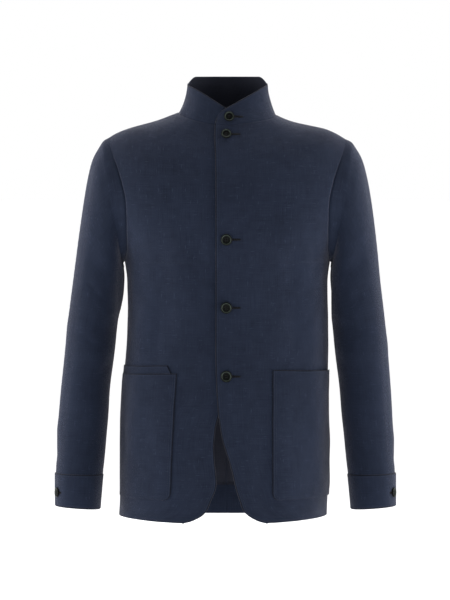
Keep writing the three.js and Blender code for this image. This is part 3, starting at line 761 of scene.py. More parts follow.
@dataclass
class Sleeve:
    """One sleeve with its cuff band, from the armhole seam to the wrist."""

    body: BodyForm
    armhole: Armhole
    sewing: Sewing
    side: Side
    sections: SmoothTable = SmoothTable(
        ("station", "out_x", "out_z", "in_x", "in_z", "mid_y", "deep", "square"),
        (
            (1, 221, -57, 183, -267, -3, 76, 2),
            (2, 235, -82, 181, -274, -3, 75, 2.05),
            (3, 243.5, -112, 180, -283, -3, 73.5, 2.1),
            (4, 250.5, -150, 180, -294, -2.5, 72, 2.15),
            (5, 257, -195, 180.7, -306, -1.5, 70.5, 2.2),
            (6, 263, -243, 181.8, -319, -0.5, 68.5, 2.2),
            (7, 268.5, -292, 183.5, -336, 0.5, 66.5, 2.2),
            (8, 275, -345, 186.5, -363, 0.5, 64, 2.2),
            (9, 280.5, -395, 190.5, -400, 0, 61, 2.2),
            (10, 285, -443, 195.5, -443, -1, 59.5, 2.2),
            (11, 289.6, -495, 201.5, -495, -5, 57.5, 2.2),
            (12, 292.9, -548, 206, -548, -12, 55, 2.2),
            (13, 295.2, -600, 210.5, -600, -19, 52.5, 2.2),
            (14, 296.3, -631, 214.2, -633, -23, 51, 2.2),
            (15, 296.4, -658, 216.9, -662, -25.5, 50, 2.2),
            (16, 296.2, -686.5, 219.4, -692, -28, 49, 2.2),
        ),
    )
    folds: tuple[Crease, ...] = (
        Crease(128, 8.5, 42, 0.5, -2.6),
        Crease(110, 9.6, 44, 0.5, 2.4),
        Crease(122, 10.6, 46, 0.5, -3.0),
        Crease(140, 11.6, 36, 0.5, 2.0),
        Crease(80, 5.6, 34, 0.7, -2.4),
        Crease(285, 6.0, 36, 0.8, -2.4),
        Crease(250, 10.0, 40, 0.6, -2.0),
    )
    own_creases: dict[Side, tuple[Crease, ...]] = field(default_factory=lambda: {
        Side.LEFT: (
            Crease(96, 7.3, 34, 0.24, -1.1, tilt=0.008),
            Crease(118, 8.0, 40, 0.20, 1.0, tilt=-0.010),
            Crease(104, 8.9, 36, 0.22, -1.3, tilt=0.012),
            Crease(132, 9.9, 30, 0.22, -1.2, tilt=-0.009),
            Crease(88, 10.9, 30, 0.26, -0.9, tilt=0.010),
            Crease(112, 12.2, 34, 0.30, 0.9, tilt=-0.006),
            Crease(38, 11.0, 11, 2.6, -0.9, lean=1.5),
            Crease(64, 5.2, 12, 1.6, 1.0, lean=-2.0),
            Crease(22, 3.4, 12, 1.3, -1.0, lean=2.5),
            Crease(8, 12.4, 26, 0.28, 1.1),
            Crease(6, 13.2, 24, 0.24, -0.9),
            Crease(352, 9.2, 22, 0.35, 0.8),
            Crease(262, 8.2, 32, 0.26, -1.6, tilt=-0.010),
            Crease(236, 9.1, 30, 0.24, 1.3, tilt=0.012),
            Crease(254, 11.2, 34, 0.30, -1.4, tilt=0.008),
            Crease(300, 4.0, 13, 1.5, -1.3, lean=-2.0),
            Crease(275, 3.4, 12, 1.4, 1.1, lean=-2.5),
            Crease(318, 11.6, 14, 2.4, -0.8),
        ),
        Side.RIGHT: (
            Crease(92, 7.0, 30, 0.24, -1.2, tilt=0.010),
            Crease(124, 7.8, 38, 0.22, 0.9, tilt=-0.009),
            Crease(108, 9.2, 38, 0.20, -1.4, tilt=0.010),
            Crease(126, 10.2, 30, 0.24, -1.1, tilt=-0.012),
            Crease(96, 11.4, 34, 0.26, 1.0, tilt=0.008),
            Crease(118, 12.6, 32, 0.28, -0.9, tilt=-0.008),
            Crease(44, 10.4, 12, 2.8, -0.9, lean=-1.5),
            Crease(58, 5.6, 12, 1.8, 1.0, lean=-1.5),
            Crease(26, 3.0, 13, 1.2, -1.0, lean=2.0),
            Crease(6, 12.1, 26, 0.30, 1.2),
            Crease(8, 13.0, 24, 0.26, -1.1),
            Crease(354, 8.6, 22, 0.40, 0.9),
            Crease(256, 8.5, 32, 0.24, -1.5, tilt=-0.012),
            Crease(240, 9.5, 30, 0.26, 1.2, tilt=0.010),
            Crease(258, 10.8, 32, 0.28, -1.3, tilt=0.010),
            Crease(296, 4.4, 13, 1.6, -1.2, lean=-2.0),
            Crease(272, 3.8, 12, 1.4, 1.0, lean=-2.5),
            Crease(322, 11.0, 14, 2.2, -0.9),
        ),
    })
    around_pitch: float = 0.2
    head_rows: tuple[float, ...] = (0, 0.05, 0.11, 0.18, 0.27, 0.39, 0.54, 0.69, 0.85)
    head_fullness: float = 2.5
    upper_pitch: float = 0.125
    lower_pitch: float = 0.085
    head_end: float = 4.0
    cuff_from: float = 14.0
    tuck_under_cuff: float = 0.07
    cuff_proud: float = 1.3
    cuff_wall: float = 2.4
    cuff_rows: tuple[float, ...] = (
        14, 14.02, 14.05, 14.09, 14.14, 14.22, 14.36, 14.5, 14.66, 14.82, 14.98, 15.14,
        15.3, 15.46, 15.6, 15.72, 15.82, 15.88, 15.93, 15.965, 15.985, 16,
    )
    cuff_lap_at: float = 334.0
    cuff_lap_height: float = 1.1
    cuff_lap_fade: float = 70.0
    seam_at: float = 236.0
    seam_spread: float = 2.6
    seam_share: float = 0.8
    sharpest_mitre: float = 0.2

    @property
    def steps(self) -> np.ndarray:
        """Places round the sleeve, 0 at the outer line and 5 in front."""
        return np.arange(0, 2 * self.armhole.half_steps, self.around_pitch)

    def bare_rings(self, stations: np.ndarray, steps: np.ndarray) -> np.ndarray:
        """Points of the sleeve's sections below the head, before its own creases.

        Args:
            stations: Places down the sleeve, from 1.
            steps: Places round it.

        Returns:
            The points, by station and step.
        """
        cut = {name: value[:, None] for name, value in self.sections.at(stations).items()}
        angle = HALF_TURN * steps[None, :] / self.armhole.half_steps
        power = 2 / cut["square"]
        cosine = np.sign(np.cos(angle)) * np.abs(np.cos(angle)) ** power
        sine = np.sign(np.sin(angle)) * np.abs(np.sin(angle)) ** power
        arm = np.stack([
            (cut["out_x"] - cut["in_x"]) / 2 * cosine,
            -cut["deep"] * sine,
            (cut["out_z"] - cut["in_z"]) / 2 * cosine,
        ], -1)
        middle = np.stack(np.broadcast_arrays(
            (cut["out_x"] + cut["in_x"]) / 2, cut["mid_y"], (cut["out_z"] + cut["in_z"]) / 2,
        ), -1)
        around = np.degrees(angle)
        reach = np.linalg.norm(arm, axis=-1)
        height = sum(fold.height(around, stations[:, None]) for fold in self.folds)
        rings = middle + arm * (1 + height / reach)[..., None]
        rings[..., 0] *= self.side.value
        return rings

    def rings(self, stations: np.ndarray, steps: np.ndarray) -> np.ndarray:
        """Points of the whole sleeve: the head runs smoothly from the armhole seam."""
        low = self.bare_rings(np.maximum(stations, 1.0), steps)
        head = stations < 1
        if head.any():
            seam, away = self.armhole.loop(steps, self.side)
            first, second = self.bare_rings(np.array([1.0, 2.0]), steps)
            crown = np.maximum(0, np.cos(HALF_TURN * steps / self.armhole.half_steps))
            leaving = (first - seam) + away * (self.head_fullness * crown)[:, None]
            arriving = second - first
            t = stations[head][:, None, None]
            low[head] = (
                seam * (1 + 2 * t) * (1 - t) ** 2 + leaving * t * (1 - t) ** 2
                + first * t * t * (3 - 2 * t) + arriving * t * t * (t - 1)
            )
        return low

    def creased(self, stations: np.ndarray, steps: np.ndarray) -> ClothGrid:
        """The sleeve's cloth with its own creases and its back seam.

        Args:
            stations: Places down the sleeve from 0 at the armhole seam.
            steps: Places round it.

        Returns:
            The closed grid.
        """
        points = self.rings(stations, steps)
        middle = points.mean(1, keepdims=True)
        grid = ClothGrid.of_points(points, unit(points - middle), closed=True)
        around = (360 * steps / (2 * self.armhole.half_steps))[None, :]
        level = stations[:, None]
        creases = self.own_creases[self.side]
        height = sum(crease.height(around, level) for crease in creases)
        off_seam = (around - self.seam_at + 180) % 360 - 180
        height = height - self.sewing.dip * self.seam_share * bell(off_seam, self.seam_spread)
        fade = ease(level, 0.0, 1.0)
        return ClothGrid.of_points(grid.moved(height * fade).points, grid.normals, closed=True)

    def mitre(self) -> tuple[np.ndarray, np.ndarray]:
        """The shared turn-in at the armhole seam.

        Returns:
            The seam's points and the inward vectors, by step.
        """
        seam, away = self.armhole.loop(self.steps, self.side)
        grid = self.creased(np.array(self.head_rows + (1.0,)), self.steps)
        outward = grid.normals[0]
        dot = np.sum(away * outward, -1, keepdims=True)
        return seam, -(away + outward) / (1 + np.maximum(dot, self.sharpest_mitre))

    def sleeve_grid(self) -> ClothGrid:
        """The sleeve's cloth from the armhole seam to just inside the cuff."""
        upper = np.arange(1.0, self.head_end, self.upper_pitch)
        end = self.cuff_from + self.tuck_under_cuff
        count = int(round((end - self.head_end) / self.lower_pitch)) + 1
        lower = np.linspace(self.head_end, end, count)
        stations = np.concatenate([self.head_rows, upper, lower])
        grid = self.creased(stations, self.steps)
        seam, inward = self.mitre()
        from_seam = np.linalg.norm(grid.points - seam[None], axis=-1)
        halves = 2 * self.armhole.half_steps
        from_top = np.minimum(self.steps, halves - self.steps)
        sink = self.sewing.sink(from_seam) * (stations < 1)[:, None]
        sink = sink * self.sewing.armhole_share(from_top)[None, :]
        own = -grid.normals * (1 - sink)[..., None] + inward[None] * sink[..., None]
        grid.points = grid.points + own * (sink * self.sewing.dip)[..., None]
        return ClothGrid.of_points(grid.points, grid.normals, closed=True)

    def cuff_grid(self) -> ClothGrid:
        """The cuff band, a little proud of the sleeve, with its lapped end."""
        stations = np.array(self.cuff_rows)
        plain = self.creased(stations, self.steps)
        around = (360 * self.steps / (2 * self.armhole.half_steps))[None, :]
        past = (around - self.cuff_lap_at) % 360
        lap = self.cuff_lap_height * (1 - ease(past, 2.0, self.cuff_lap_fade))
        grid = plain.moved(self.cuff_proud + lap + 0 * stations[:, None])
        grid = ClothGrid.of_points(grid.points, plain.normals, closed=True)
        rise, fall = grid.column_lengths()
        grid.edge = np.minimum(rise, fall)
        return grid

    def build(self, finishes: "Finishes") -> list["CutPiece"]:
        """Makes the sleeve and its cuff.

        Args:
            finishes: The materials.

        Returns:
            The two pieces.
        """
        name = self.side.label
        sleeve = Shell(f"sleeve_{name}_cloth", self.sleeve_grid(), self.sewing.wall,
                       finishes.cloth, finishes.lining)
        cuff = Shell(f"cuff_{name}_cloth", self.cuff_grid(), self.cuff_wall,
                     finishes.cloth, finishes.lining)
        return [sleeve.build(), cuff.build()]


@dataclass
class BodyPanel:
    """One of the four panels of the body, from the hem to the neck seam."""

    body: BodyForm
    armhole: Armhole
    sewing: Sewing
    sleeve: Sleeve
    side: Side
    part: Part
    lap: Lap | None = None
    edges: SmoothTable = SmoothTable(
        ("z", "over", "under"),
        (
            (-713.5, 82, 79),
            (-711.5, 70, 68.5),
            (-708, 58.5, 58.5),
            (-699.5, 42, 43),
            (-689, 31, 34),
            (-673, 25, 27.5),
            (-649, 17, 18.5),
            (-625, 11.8, 19),
            (-600, 4.6, 21.5),
            (-570, -5, 22),
            (-528, -12, 15),
            (-484, -15.6, -6),
            (-430, -17.5, -18),
            (-300, -17.5, -18),
            (0, -17.5, -18),
        ),
    )
    row_pitch: float = 4.0
    shoulder_pitch: float = 2.5
    columns: int = 60
    samples: int = 241
    hem_fold_top: float = -662.0
    hem_wall: float = 2.6
    hem_fold_step: float = 1.2
    shoulder_seam_run: float = 10.0

    def levels(self) -> tuple[np.ndarray, np.ndarray]:
        """Row heights from the hem up.

        Returns:
            The heights, and each row's armhole step or nan away from the armhole.
        """
        fold = [self.hem_fold_top - self.hem_fold_step, self.hem_fold_top]
        lower = stations_between(self.body.hem, self.armhole.foot - self.row_pitch,
                                 self.row_pitch, self.sewing.edge_steps)
        lower = np.sort(np.concatenate([lower, fold]))
        halves = self.armhole.half_steps
        steps = np.arange(halves, -self.sleeve.around_pitch / 2, -self.sleeve.around_pitch)
        seam = self.armhole.heights(steps)
        shoulder = stations_between(self.armhole.top + self.shoulder_pitch, 0.0,
                                    self.shoulder_pitch, high_steps=self.sewing.seam_steps)
        heights = np.concatenate([lower, seam, shoulder])
        away = [np.full(len(lower), np.nan), steps, np.full(len(shoulder), np.nan)]
        return heights, np.concatenate(away)

    def limits(self, z: np.ndarray, step: np.ndarray) -> tuple[np.ndarray, np.ndarray]:
        """Own-side angles where each row begins and ends.

        Args:
            z: Row heights.
            step: Armhole steps, nan away from it.

        Returns:
            The angles at the panel's first edge and at its side.
        """
        behind = self.part is Part.BACK
        seam = self.armhole.angles(np.nan_to_num(step), np.full(len(z), behind))
        last = np.where(np.isnan(step), QUARTER_TURN, seam)
        if behind:
            return np.full(len(z), HALF_TURN), last
        edge = self.edges.at(z)[self.lap.value]
        return self.body.angle_at(edge, z), last

    def heights_at(self, own: np.ndarray, z: np.ndarray, step: np.ndarray,
                   first: np.ndarray, last: np.ndarray) -> np.ndarray:
        """Heights along bent rows, which meet the armhole seam unbent."""
        share = (own - first) / (last - first)
        held = np.where(np.isnan(step), 0.0, self.body.bend(last, z)) * share**4
        return z + self.body.bend(own, z) - held

    def grid(self) -> ClothGrid:
        """The panel's cloth, turned in at its seams.

        Returns:
            The open grid, rows from the hem up and columns from the first edge to the side.
        """
        z, step = (value[:, None] for value in self.levels())
        first, last = (value[:, None] for value in self.limits(z[:, 0], step[:, 0]))
        low = self.sewing.edge_steps if self.part is Part.FRONT else self.sewing.seam_steps
        laying = Laying(self.body, self.side, self.lap, self.columns, self.samples, low,
                        self.sewing.seam_steps)
        grid, places, run, dense = laying.rows(
            first, last, lambda own: self.heights_at(own, z, step, first, last))
        plumb = np.zeros(len(run))
        if self.part is Part.FRONT:
            plumb = np.array([np.interp(0.0, d, r) for d, r in zip(dense, run)])
        grid.flat[..., 0] = (places - plumb[:, None]) * self.side.value
        return self._turned_in(grid, places, run[:, -1:], z[:, 0], step[:, 0])

    def _turned_in(self, grid: ClothGrid, places: np.ndarray, length: np.ndarray,
                   z: np.ndarray, step: np.ndarray) -> ClothGrid:
        """Sinks the cloth into its seams and notes how far it is from a finished edge."""
        rise, fall = grid.column_lengths()
        side = self.sewing.sink(length - places)
        level = np.where(np.isnan(step), self.armhole.half_steps, step)
        shoulder = ease(z, self.armhole.top, self.armhole.top + self.shoulder_seam_run)
        share = np.where(z > self.armhole.top, shoulder, self.sewing.armhole_share(level))
        side = side * share[:, None]
        neck = self.sewing.sink(fall)
        middle = self.sewing.sink(places) if self.part is Part.BACK else 0 * places
        _, mitres = self.sleeve.mitre()
        inward = -grid.normals.copy()
        for row, own in enumerate(step):
            if np.isnan(own):
                continue
            place = own if self.part is Part.FRONT else 2 * self.armhole.half_steps - own
            index = int(round(place / self.sleeve.around_pitch)) % len(mitres)
            share = side[row][:, None]
            inward[row] = inward[row] * (1 - share) + mitres[index] * share
        sink = np.maximum(np.maximum(side, neck), middle)
        points = grid.points + inward * (sink * self.sewing.dip)[..., None]
        turned = ClothGrid.of_points(points, grid.normals)
        turned.flat = grid.flat
        turned.edge = np.minimum(rise, places) if self.part is Part.FRONT else rise
        return turned

    def build(self, finishes: "Finishes") -> "CutPiece":
        """Makes the panel's object.

        Args:
            finishes: The materials.

        Returns:
            The piece.
        """
        z, _ = self.levels()
        grid = self.grid()
        folded = (z <= self.hem_fold_top)[:, None]
        wall = np.where(folded, self.hem_wall, self.sewing.thickness(grid.edge))
        lined = z[:-1] >= self.hem_fold_top
        name = f"{self.part.value}_{self.side.label}_cloth"
        return Shell(name, grid, wall, finishes.cloth, finishes.lining, lined).build()


@dataclass
class PatchPocket:
    """A patch pocket on a front, from its front edge to the side seam."""

    body: BodyForm
    sewing: Sewing
    side: Side
    lap: Lap
    mouth: float
    line_top: float
    line_foot: float
    foot: float = -673.0
    corner: float = 12.0
    lay: float = 0.35
    wall: float = 1.4
    puff: float = 0.8
    mouth_puff: float = 1.0
    mouth_reach: float = 26.0
    puff_reach: float = 22.0
    columns: int = 30
    row_pitch: float = 4.0
    samples: int = 121

    def grid(self) -> ClothGrid:
        """The pocket's cloth, just proud of the front."""
        steps = self.sewing.edge_steps
        z = stations_between(self.foot, self.mouth, self.row_pitch, steps, steps)[:, None]
        down = (z - self.mouth) / (self.foot - self.mouth)
        line = self.line_top + (self.line_foot - self.line_top) * down
        near = np.maximum(0.0, self.corner - (z - self.foot))
        line = line + self.corner - np.sqrt(self.corner**2 - near**2)
        grid, places, run = self.laid(line, z, self.columns, self.samples)
        rise, fall = grid.column_lengths()
        grid.edge = np.minimum(np.minimum(rise, fall), places)
        across = places / run[:, -1:]
        swell = self.puff * ease(np.minimum(rise, places), 0.0, self.puff_reach)
        swell = swell + self.mouth_puff * bell(fall, self.mouth_reach) * np.sin(HALF_TURN * across)
        lifted = grid.moved(self.lay + self.wall + swell)
        lifted.flat[..., 0] = (places - run[:, -1:]) * self.side.value
        return lifted

    def laid(self, line: np.ndarray, z: np.ndarray, columns: int,
             samples: int) -> tuple[ClothGrid, np.ndarray, np.ndarray]:
        """Cloth laid on the front from a line to the side seam.

        Args:
            line: Distance of each row's start from the middle.
            z: Each row's height.
            columns: Number of evenly spread places in a row.
            samples: Number of places at which a row is measured.

        Returns:
            The grid, each point's place along its row, and the rows' lengths so far.
        """
        laying = Laying(self.body, self.side, self.lap, columns, samples, self.sewing.edge_steps,
                        self.sewing.seam_steps)
        first = self.body.angle_at(line, z)
        grid, places, run, _ = laying.rows(first, QUARTER_TURN,
                                           lambda own: z + self.body.bend(own, z))
        return grid, places, run

    def build(self, finishes: "Finishes") -> "CutPiece":
        """Makes the pocket's object."""
        return Shell(f"pocket_{self.side.label}_cloth", self.grid(), self.wall,
                     finishes.cloth, finishes.cloth).build()


@dataclass
class PocketFlap:
    """The flap of the right pocket, tucked in so that only its upper edge shows."""

    pocket: PatchPocket
    top: float = -438.0
    front_top: float = 102.0
    front_foot: float = 95.0
    lay: float = 0.25
    wall: float = 1.6
    columns: int = 26
    row_pitch: float = 1.6
    samples: int = 81
    over_mouth: float = 0.3
    top_steps: tuple[float, ...] = (0.0, 0.6, 1.2, 2.0)

    def grid(self) -> ClothGrid:
        """The flap's cloth from the pocket's mouth up."""
        pocket = self.pocket
        z = stations_between(pocket.mouth + self.over_mouth, self.top, self.row_pitch,
                             high_steps=self.top_steps)[:, None]
        up = (z - pocket.mouth) / (self.top - pocket.mouth)
        front = self.front_foot + (self.front_top - self.front_foot) * up
        grid, places, _ = pocket.laid(front, z, self.columns, self.samples)
        _, fall = grid.column_lengths()
        grid.edge = np.minimum(fall, places)
        return grid.moved(self.lay + self.wall)

    def build(self, finishes: "Finishes") -> "CutPiece":
        """Makes the flap's object."""
        return Shell(f"pocket_flap_{self.pocket.side.label}_cloth", self.grid(), self.wall,
                     finishes.cloth, finishes.cloth).build()


@dataclass
class StandCollar:
    """The one-piece stand collar, which narrows upwards and laps in front."""

    body: BodyForm
    sewing: Sewing
    under_edge: float = -18.0
    over_edge: float = -17.5
    half: float = 70.0
    front: float = 64.0
    back: float = 52.0
    mid_y: float = -8.0
    crossing: float = 7.0
    slope: float = 0.6
    side_top: float = 49.0
    back_top: float = 60.5
    turn_from: float = 0.08
    turn_to: float = 0.52
    bow: float = 3.0
    soften: float = 5.0
    wall: float = 2.0
    sunk: float = 1.2
    columns: int = 130
    row_count: int = 20
    foot_steps: tuple[float, ...] = (0.0, 1.0, 2.2)
    samples: int = 721
    creases: tuple[Crease, ...] = (
        Crease(-84, 0.22, 7, 0.20, -1.4),
        Crease(-70, 0.12, 8, 0.16, 1.0),
        Crease(82, 0.25, 6, 0.22, -1.1),
        Crease(66, 0.10, 8, 0.14, 0.9),
        Crease(-38, 0.45, 12, 0.5, 0.5),
        Crease(150, 0.5, 16, 0.5, -0.6),
        Crease(-160, 0.4, 14, 0.5, 0.6),
    )

    def laps(self, around: np.ndarray) -> np.ndarray:
        """The lap at each place, as -1 under, 0 away from it and 1 over."""
        return np.where(around > -QUARTER_TURN, -1, np.where(around < -3 * QUARTER_TURN, 1, 0))

    def lifted(self, own_x: np.ndarray, lap: np.ndarray) -> np.ndarray:
        """How far the collar's ends stand out or in."""
        over = self.body.lift(own_x, Lap.OVER)
        under = self.body.lift(own_x, Lap.UNDER)
        return np.where(lap > 0, over, np.where(lap < 0, under, 0.0))

    def base(self, around: np.ndarray) -> np.ndarray:
        """Points of the neck seam on the panels."""
        z = self.body.bend(around, 0 * around)
        points, normals = self.body.place(around, z)
        own_x = points[..., 0] * np.where(around > -HALF_TURN, -1, 1)
        lift = self.lifted(own_x, self.laps(around))
        return points + normals * lift[..., None]

    def top(self, base: np.ndarray, around: np.ndarray) -> np.ndarray:
        """Points of the top edge over the neck seam."""
        sign = np.where(around > -HALF_TURN, -1, 1)
        angle = np.arctan2(base[:, 0], -base[:, 1])
        own = angle * sign
        deep = np.where(np.cos(angle) > 0, self.front, self.back)
        radius = 1 / np.hypot(np.sin(angle) / self.half, np.cos(angle) / deep)
        own_x = radius * np.sin(own)
        in_front = np.abs(own) < QUARTER_TURN
        reach = radius + np.where(in_front, self.lifted(own_x, self.laps(around)), 0)
        turned = np.abs(own) - QUARTER_TURN
        rear = ease(turned, self.turn_from, self.turn_to)
        rising = self.crossing + self.slope * own_x
        gap = (rising - self.side_top) / self.soften
        soft = self.side_top - self.soften * np.log1p(np.exp(np.clip(-gap, -40, 40)))
        z = np.where(turned > 0, self.side_top + (self.back_top - self.side_top) * rear, soft)
        z = np.where(turned > 0, z, np.minimum(z, self.side_top))
        return np.stack([reach * np.sin(angle), self.mid_y - reach * np.cos(angle), z], -1)

    def grid(self) -> ClothGrid:
        """The collar's cloth, from the under end round the neck to the over end."""
        start = -float(self.body.angle_at(np.array(self.under_edge), np.array(0.0)))
        end = -2 * HALF_TURN + float(self.body.angle_at(np.array(self.over_edge), np.array(0.0)))
        dense = np.linspace(start, end, self.samples)
        run = measured_rows(self.base(dense)[None])[0]
        steps = self.sewing.edge_steps
        places = column_places(run[-1:], self.columns, steps, steps)[0]
        around = np.interp(places, run, dense)
        base = self.base(around)
        top = self.top(base, around)
        rise = unit(top - base)
        tall = np.linalg.norm(top - base, axis=-1)
        share = column_places(tall, self.row_count, self.foot_steps, steps).T / tall[None]
        start_points = base - rise * self.sunk
        points = start_points[None] + (top - start_points)[None] * share[..., None]
        bow = self.bow * np.minimum(1, np.abs(base[:, 0]) / self.half) ** 2
        points[..., 0] -= np.sign(base[:, 0]) * bow * np.sin(HALF_TURN * share)
        outward = unit(points - np.array([0, self.mid_y, 0])) * np.array([1, 1, 0])
        grid = ClothGrid.of_points(points, outward)
        degrees = np.degrees(np.arctan2(base[:, 0], -base[:, 1]))[None]
        height = sum(crease.height(degrees, share) for crease in self.creases)
        grid = ClothGrid.of_points(grid.moved(height).points, grid.normals)
        _, fall = grid.column_lengths()
        grid.edge = np.minimum(fall, np.minimum(*grid.row_lengths()))
        return grid

    def build(self, finishes: "Finishes") -> "CutPiece":
        """Makes the collar's object."""
        return Shell("collar_cloth", self.grid(), self.wall, finishes.cloth,
                     finishes.lining).build()


class NodeSheet:
    """Adds and links the nodes of one shader or geometry tree."""

    def __init__(self, tree: bpy.types.NodeTree) -> None:
        """Keeps the tree."""
        self.tree = tree

    def add(self, kind: str, **settings: object) -> bpy.types.Node:
        """A new node of that kind with its settings made."""
        node = self.tree.nodes.new(kind)
        for name, value in settings.items():
            setattr(node, name, value)
        return node

    def put(self, socket: bpy.types.NodeSocket, value: object) -> None:
        """Links value to the socket, or sets it where value isn't a socket."""
        if isinstance(value, bpy.types.NodeSocket):
            self.tree.links.new(value, socket)
        else:
            socket.default_value = value

    def maths(self, operation: str, *values: object) -> bpy.types.NodeSocket:
        """The result of a Math node on numbers or sockets."""
        node = self.add("ShaderNodeMath", operation=operation)
        for socket, value in zip(node.inputs, values):
            self.put(socket, value)
        return node.outputs[0]

    def noise(self, vector: bpy.types.NodeSocket, scale: tuple[float, float, float],
              detail: float = 2.0) -> bpy.types.NodeSocket:
        """Noise from 0 to 1 with its own scale along each direction."""
        stretch = self.add("ShaderNodeVectorMath", operation="MULTIPLY")
        self.put(stretch.inputs[0], vector)
        self.put(stretch.inputs[1], scale)
        node = self.add("ShaderNodeTexNoise")
        self.put(node.inputs["Vector"], stretch.outputs[0])
        self.put(node.inputs["Scale"], 1.0)
        self.put(node.inputs["Detail"], detail)
        return node.outputs["Fac"]

    def between(self, value: bpy.types.NodeSocket, low: float, high: float,
                to_low: float = 0.0, to_high: float = 1.0) -> bpy.types.NodeSocket:
        """value carried smoothly from one range to another and held at its ends."""
        node = self.add("ShaderNodeMapRange", interpolation_type="SMOOTHSTEP")
        for name, number in (("From Min", low), ("From Max", high),
                             ("To Min", to_low), ("To Max", to_high)):
            self.put(node.inputs[name], number)
        self.put(node.inputs["Value"], value)
        return node.outputs[0]

    def bump(self, shader: bpy.types.Node, height: bpy.types.NodeSocket, distance: float,
             strength: float = 1.0) -> None:
        """Raises the shader's surface by a height."""
        node = self.add("ShaderNodeBump")
        self.put(node.inputs["Strength"], strength)
        self.put(node.inputs["Distance"], distance)
        self.put(node.inputs["Height"], height)
        self.put(shader.inputs["Normal"], node.outputs[0])

    def mix(self, part: object, first: object, second: object) -> bpy.types.NodeSocket:
        """A colour between two, by part."""
        node = self.add("ShaderNodeMix", data_type="RGBA")
        self.put(node.inputs["Factor"], part)
        self.put(node.inputs["A"], first)
        self.put(node.inputs["B"], second)
        return node.outputs["Result"]


def shader_group(name: str, inputs: dict[str, tuple[str, object]],
                 outputs: tuple[str, ...]) -> tuple[bpy.types.NodeTree, NodeSheet,
                                                    dict[str, bpy.types.NodeSocket]]:
    """Starts a shader node group.

    Args:
        name: The group's name.
        inputs: Each input's name with its socket type and its usual value.
        outputs: Names of the values that it puts out.

    Returns:
        The group, its sheet, and the input sockets inside it by name.
    """
    tree = bpy.data.node_groups.new(name, "ShaderNodeTree")
    for label, (kind, usual) in inputs.items():
        socket = tree.interface.new_socket(label, in_out="INPUT", socket_type=kind)
        if usual is not None:
            socket.default_value = usual
    for label in outputs:
        tree.interface.new_socket(label, in_out="OUTPUT", socket_type="NodeSocketFloat")
    sheet = NodeSheet(tree)
    start = sheet.add("NodeGroupInput")
    return tree, sheet, {socket.name: socket for socket in start.outputs if socket.name}


def end_group(sheet: NodeSheet, results: dict[str, bpy.types.NodeSocket]) -> None:
    """Links the results to the group's outputs."""
    end = sheet.add("NodeGroupOutput")
    for name, value in results.items():
        sheet.put(end.inputs[name], value)


def yarn_group() -> bpy.types.NodeTree:
    """A plain weave of uneven yarns with slubs, on the cut in metres."""
    tree, sheet, given = shader_group("Uneven yarns", {
        "Cut": ("NodeSocketVector", None),
        "Pitch": ("NodeSocketFloat", 0.0007),
        "Slubs": ("NodeSocketFloat", 1.0),
    }, ("Tone", "Height", "Rub"))
    cut = given["Cut"]
    scaled = sheet.add("ShaderNodeVectorMath", operation="SCALE")
    sheet.put(scaled.inputs[0], cut)
    sheet.put(scaled.inputs["Scale"], sheet.maths("DIVIDE", math.pi, given["Pitch"]))
    split = sheet.add("ShaderNodeSeparateXYZ")
    sheet.put(split.inputs[0], scaled.outputs[0])
    warp, weft = sheet.maths("SINE", split.outputs[0]), sheet.maths("SINE", split.outputs[1])
    over = sheet.between(sheet.maths("MULTIPLY", warp, weft), -0.35, 0.35)
    warp_top = sheet.maths("ABSOLUTE", warp)
    weft_top = sheet.maths("ABSOLUTE", weft)
    crown = sheet.maths("ADD", sheet.maths("MULTIPLY", warp_top, over),
                        sheet.maths("MULTIPLY", weft_top, sheet.maths("SUBTRACT", 1.0, over)))
    warp_yarn = sheet.noise(cut, (1100.0, 24.0, 1.0))
    weft_yarn = sheet.noise(cut, (24.0, 1100.0, 1.0))
    warp_slub = sheet.between(sheet.noise(cut, (560.0, 90.0, 1.0), 0.0), 0.74, 0.84)
    weft_slub = sheet.between(sheet.noise(cut, (80.0, 600.0, 1.0), 0.0), 0.73, 0.84)
    cloud = sheet.noise(cut, (60.0, 60.0, 1.0), 3.0)
    slubs = sheet.maths("MULTIPLY", sheet.maths("MAXIMUM", warp_slub, weft_slub), given["Slubs"])
    yarns = sheet.maths("ADD", sheet.maths("SUBTRACT", warp_yarn, 0.5),
                        sheet.maths("SUBTRACT", weft_yarn, 0.5))
    patch = sheet.noise(cut, (9.0, 7.0, 1.0), 2.0)
    tone = sheet.maths("MULTIPLY_ADD", yarns, 0.6, 0.36)
    tone = sheet.maths("MULTIPLY_ADD", sheet.maths("SUBTRACT", cloud, 0.5), 0.35, tone)
    tone = sheet.maths("MULTIPLY_ADD", sheet.maths("SUBTRACT", patch, 0.5), 0.5, tone)
    # The yarns' crowns are painted a little lighter than the hollows between them: painted shade in the
    # weave.
    tone = sheet.maths("MULTIPLY_ADD", crown, 0.14, tone)
    tone = sheet.maths("MULTIPLY_ADD", slubs, 0.62, tone)
    height = sheet.maths("MULTIPLY_ADD", slubs, 0.9, crown)
    height = sheet.maths("MULTIPLY_ADD", yarns, 1.1, height)
    end_group(sheet, {
        "Tone": sheet.maths("MINIMUM", sheet.maths("MAXIMUM", tone, 0.0), 1.0),
        "Height": height,
        "Rub": cloud,
    })
    return tree


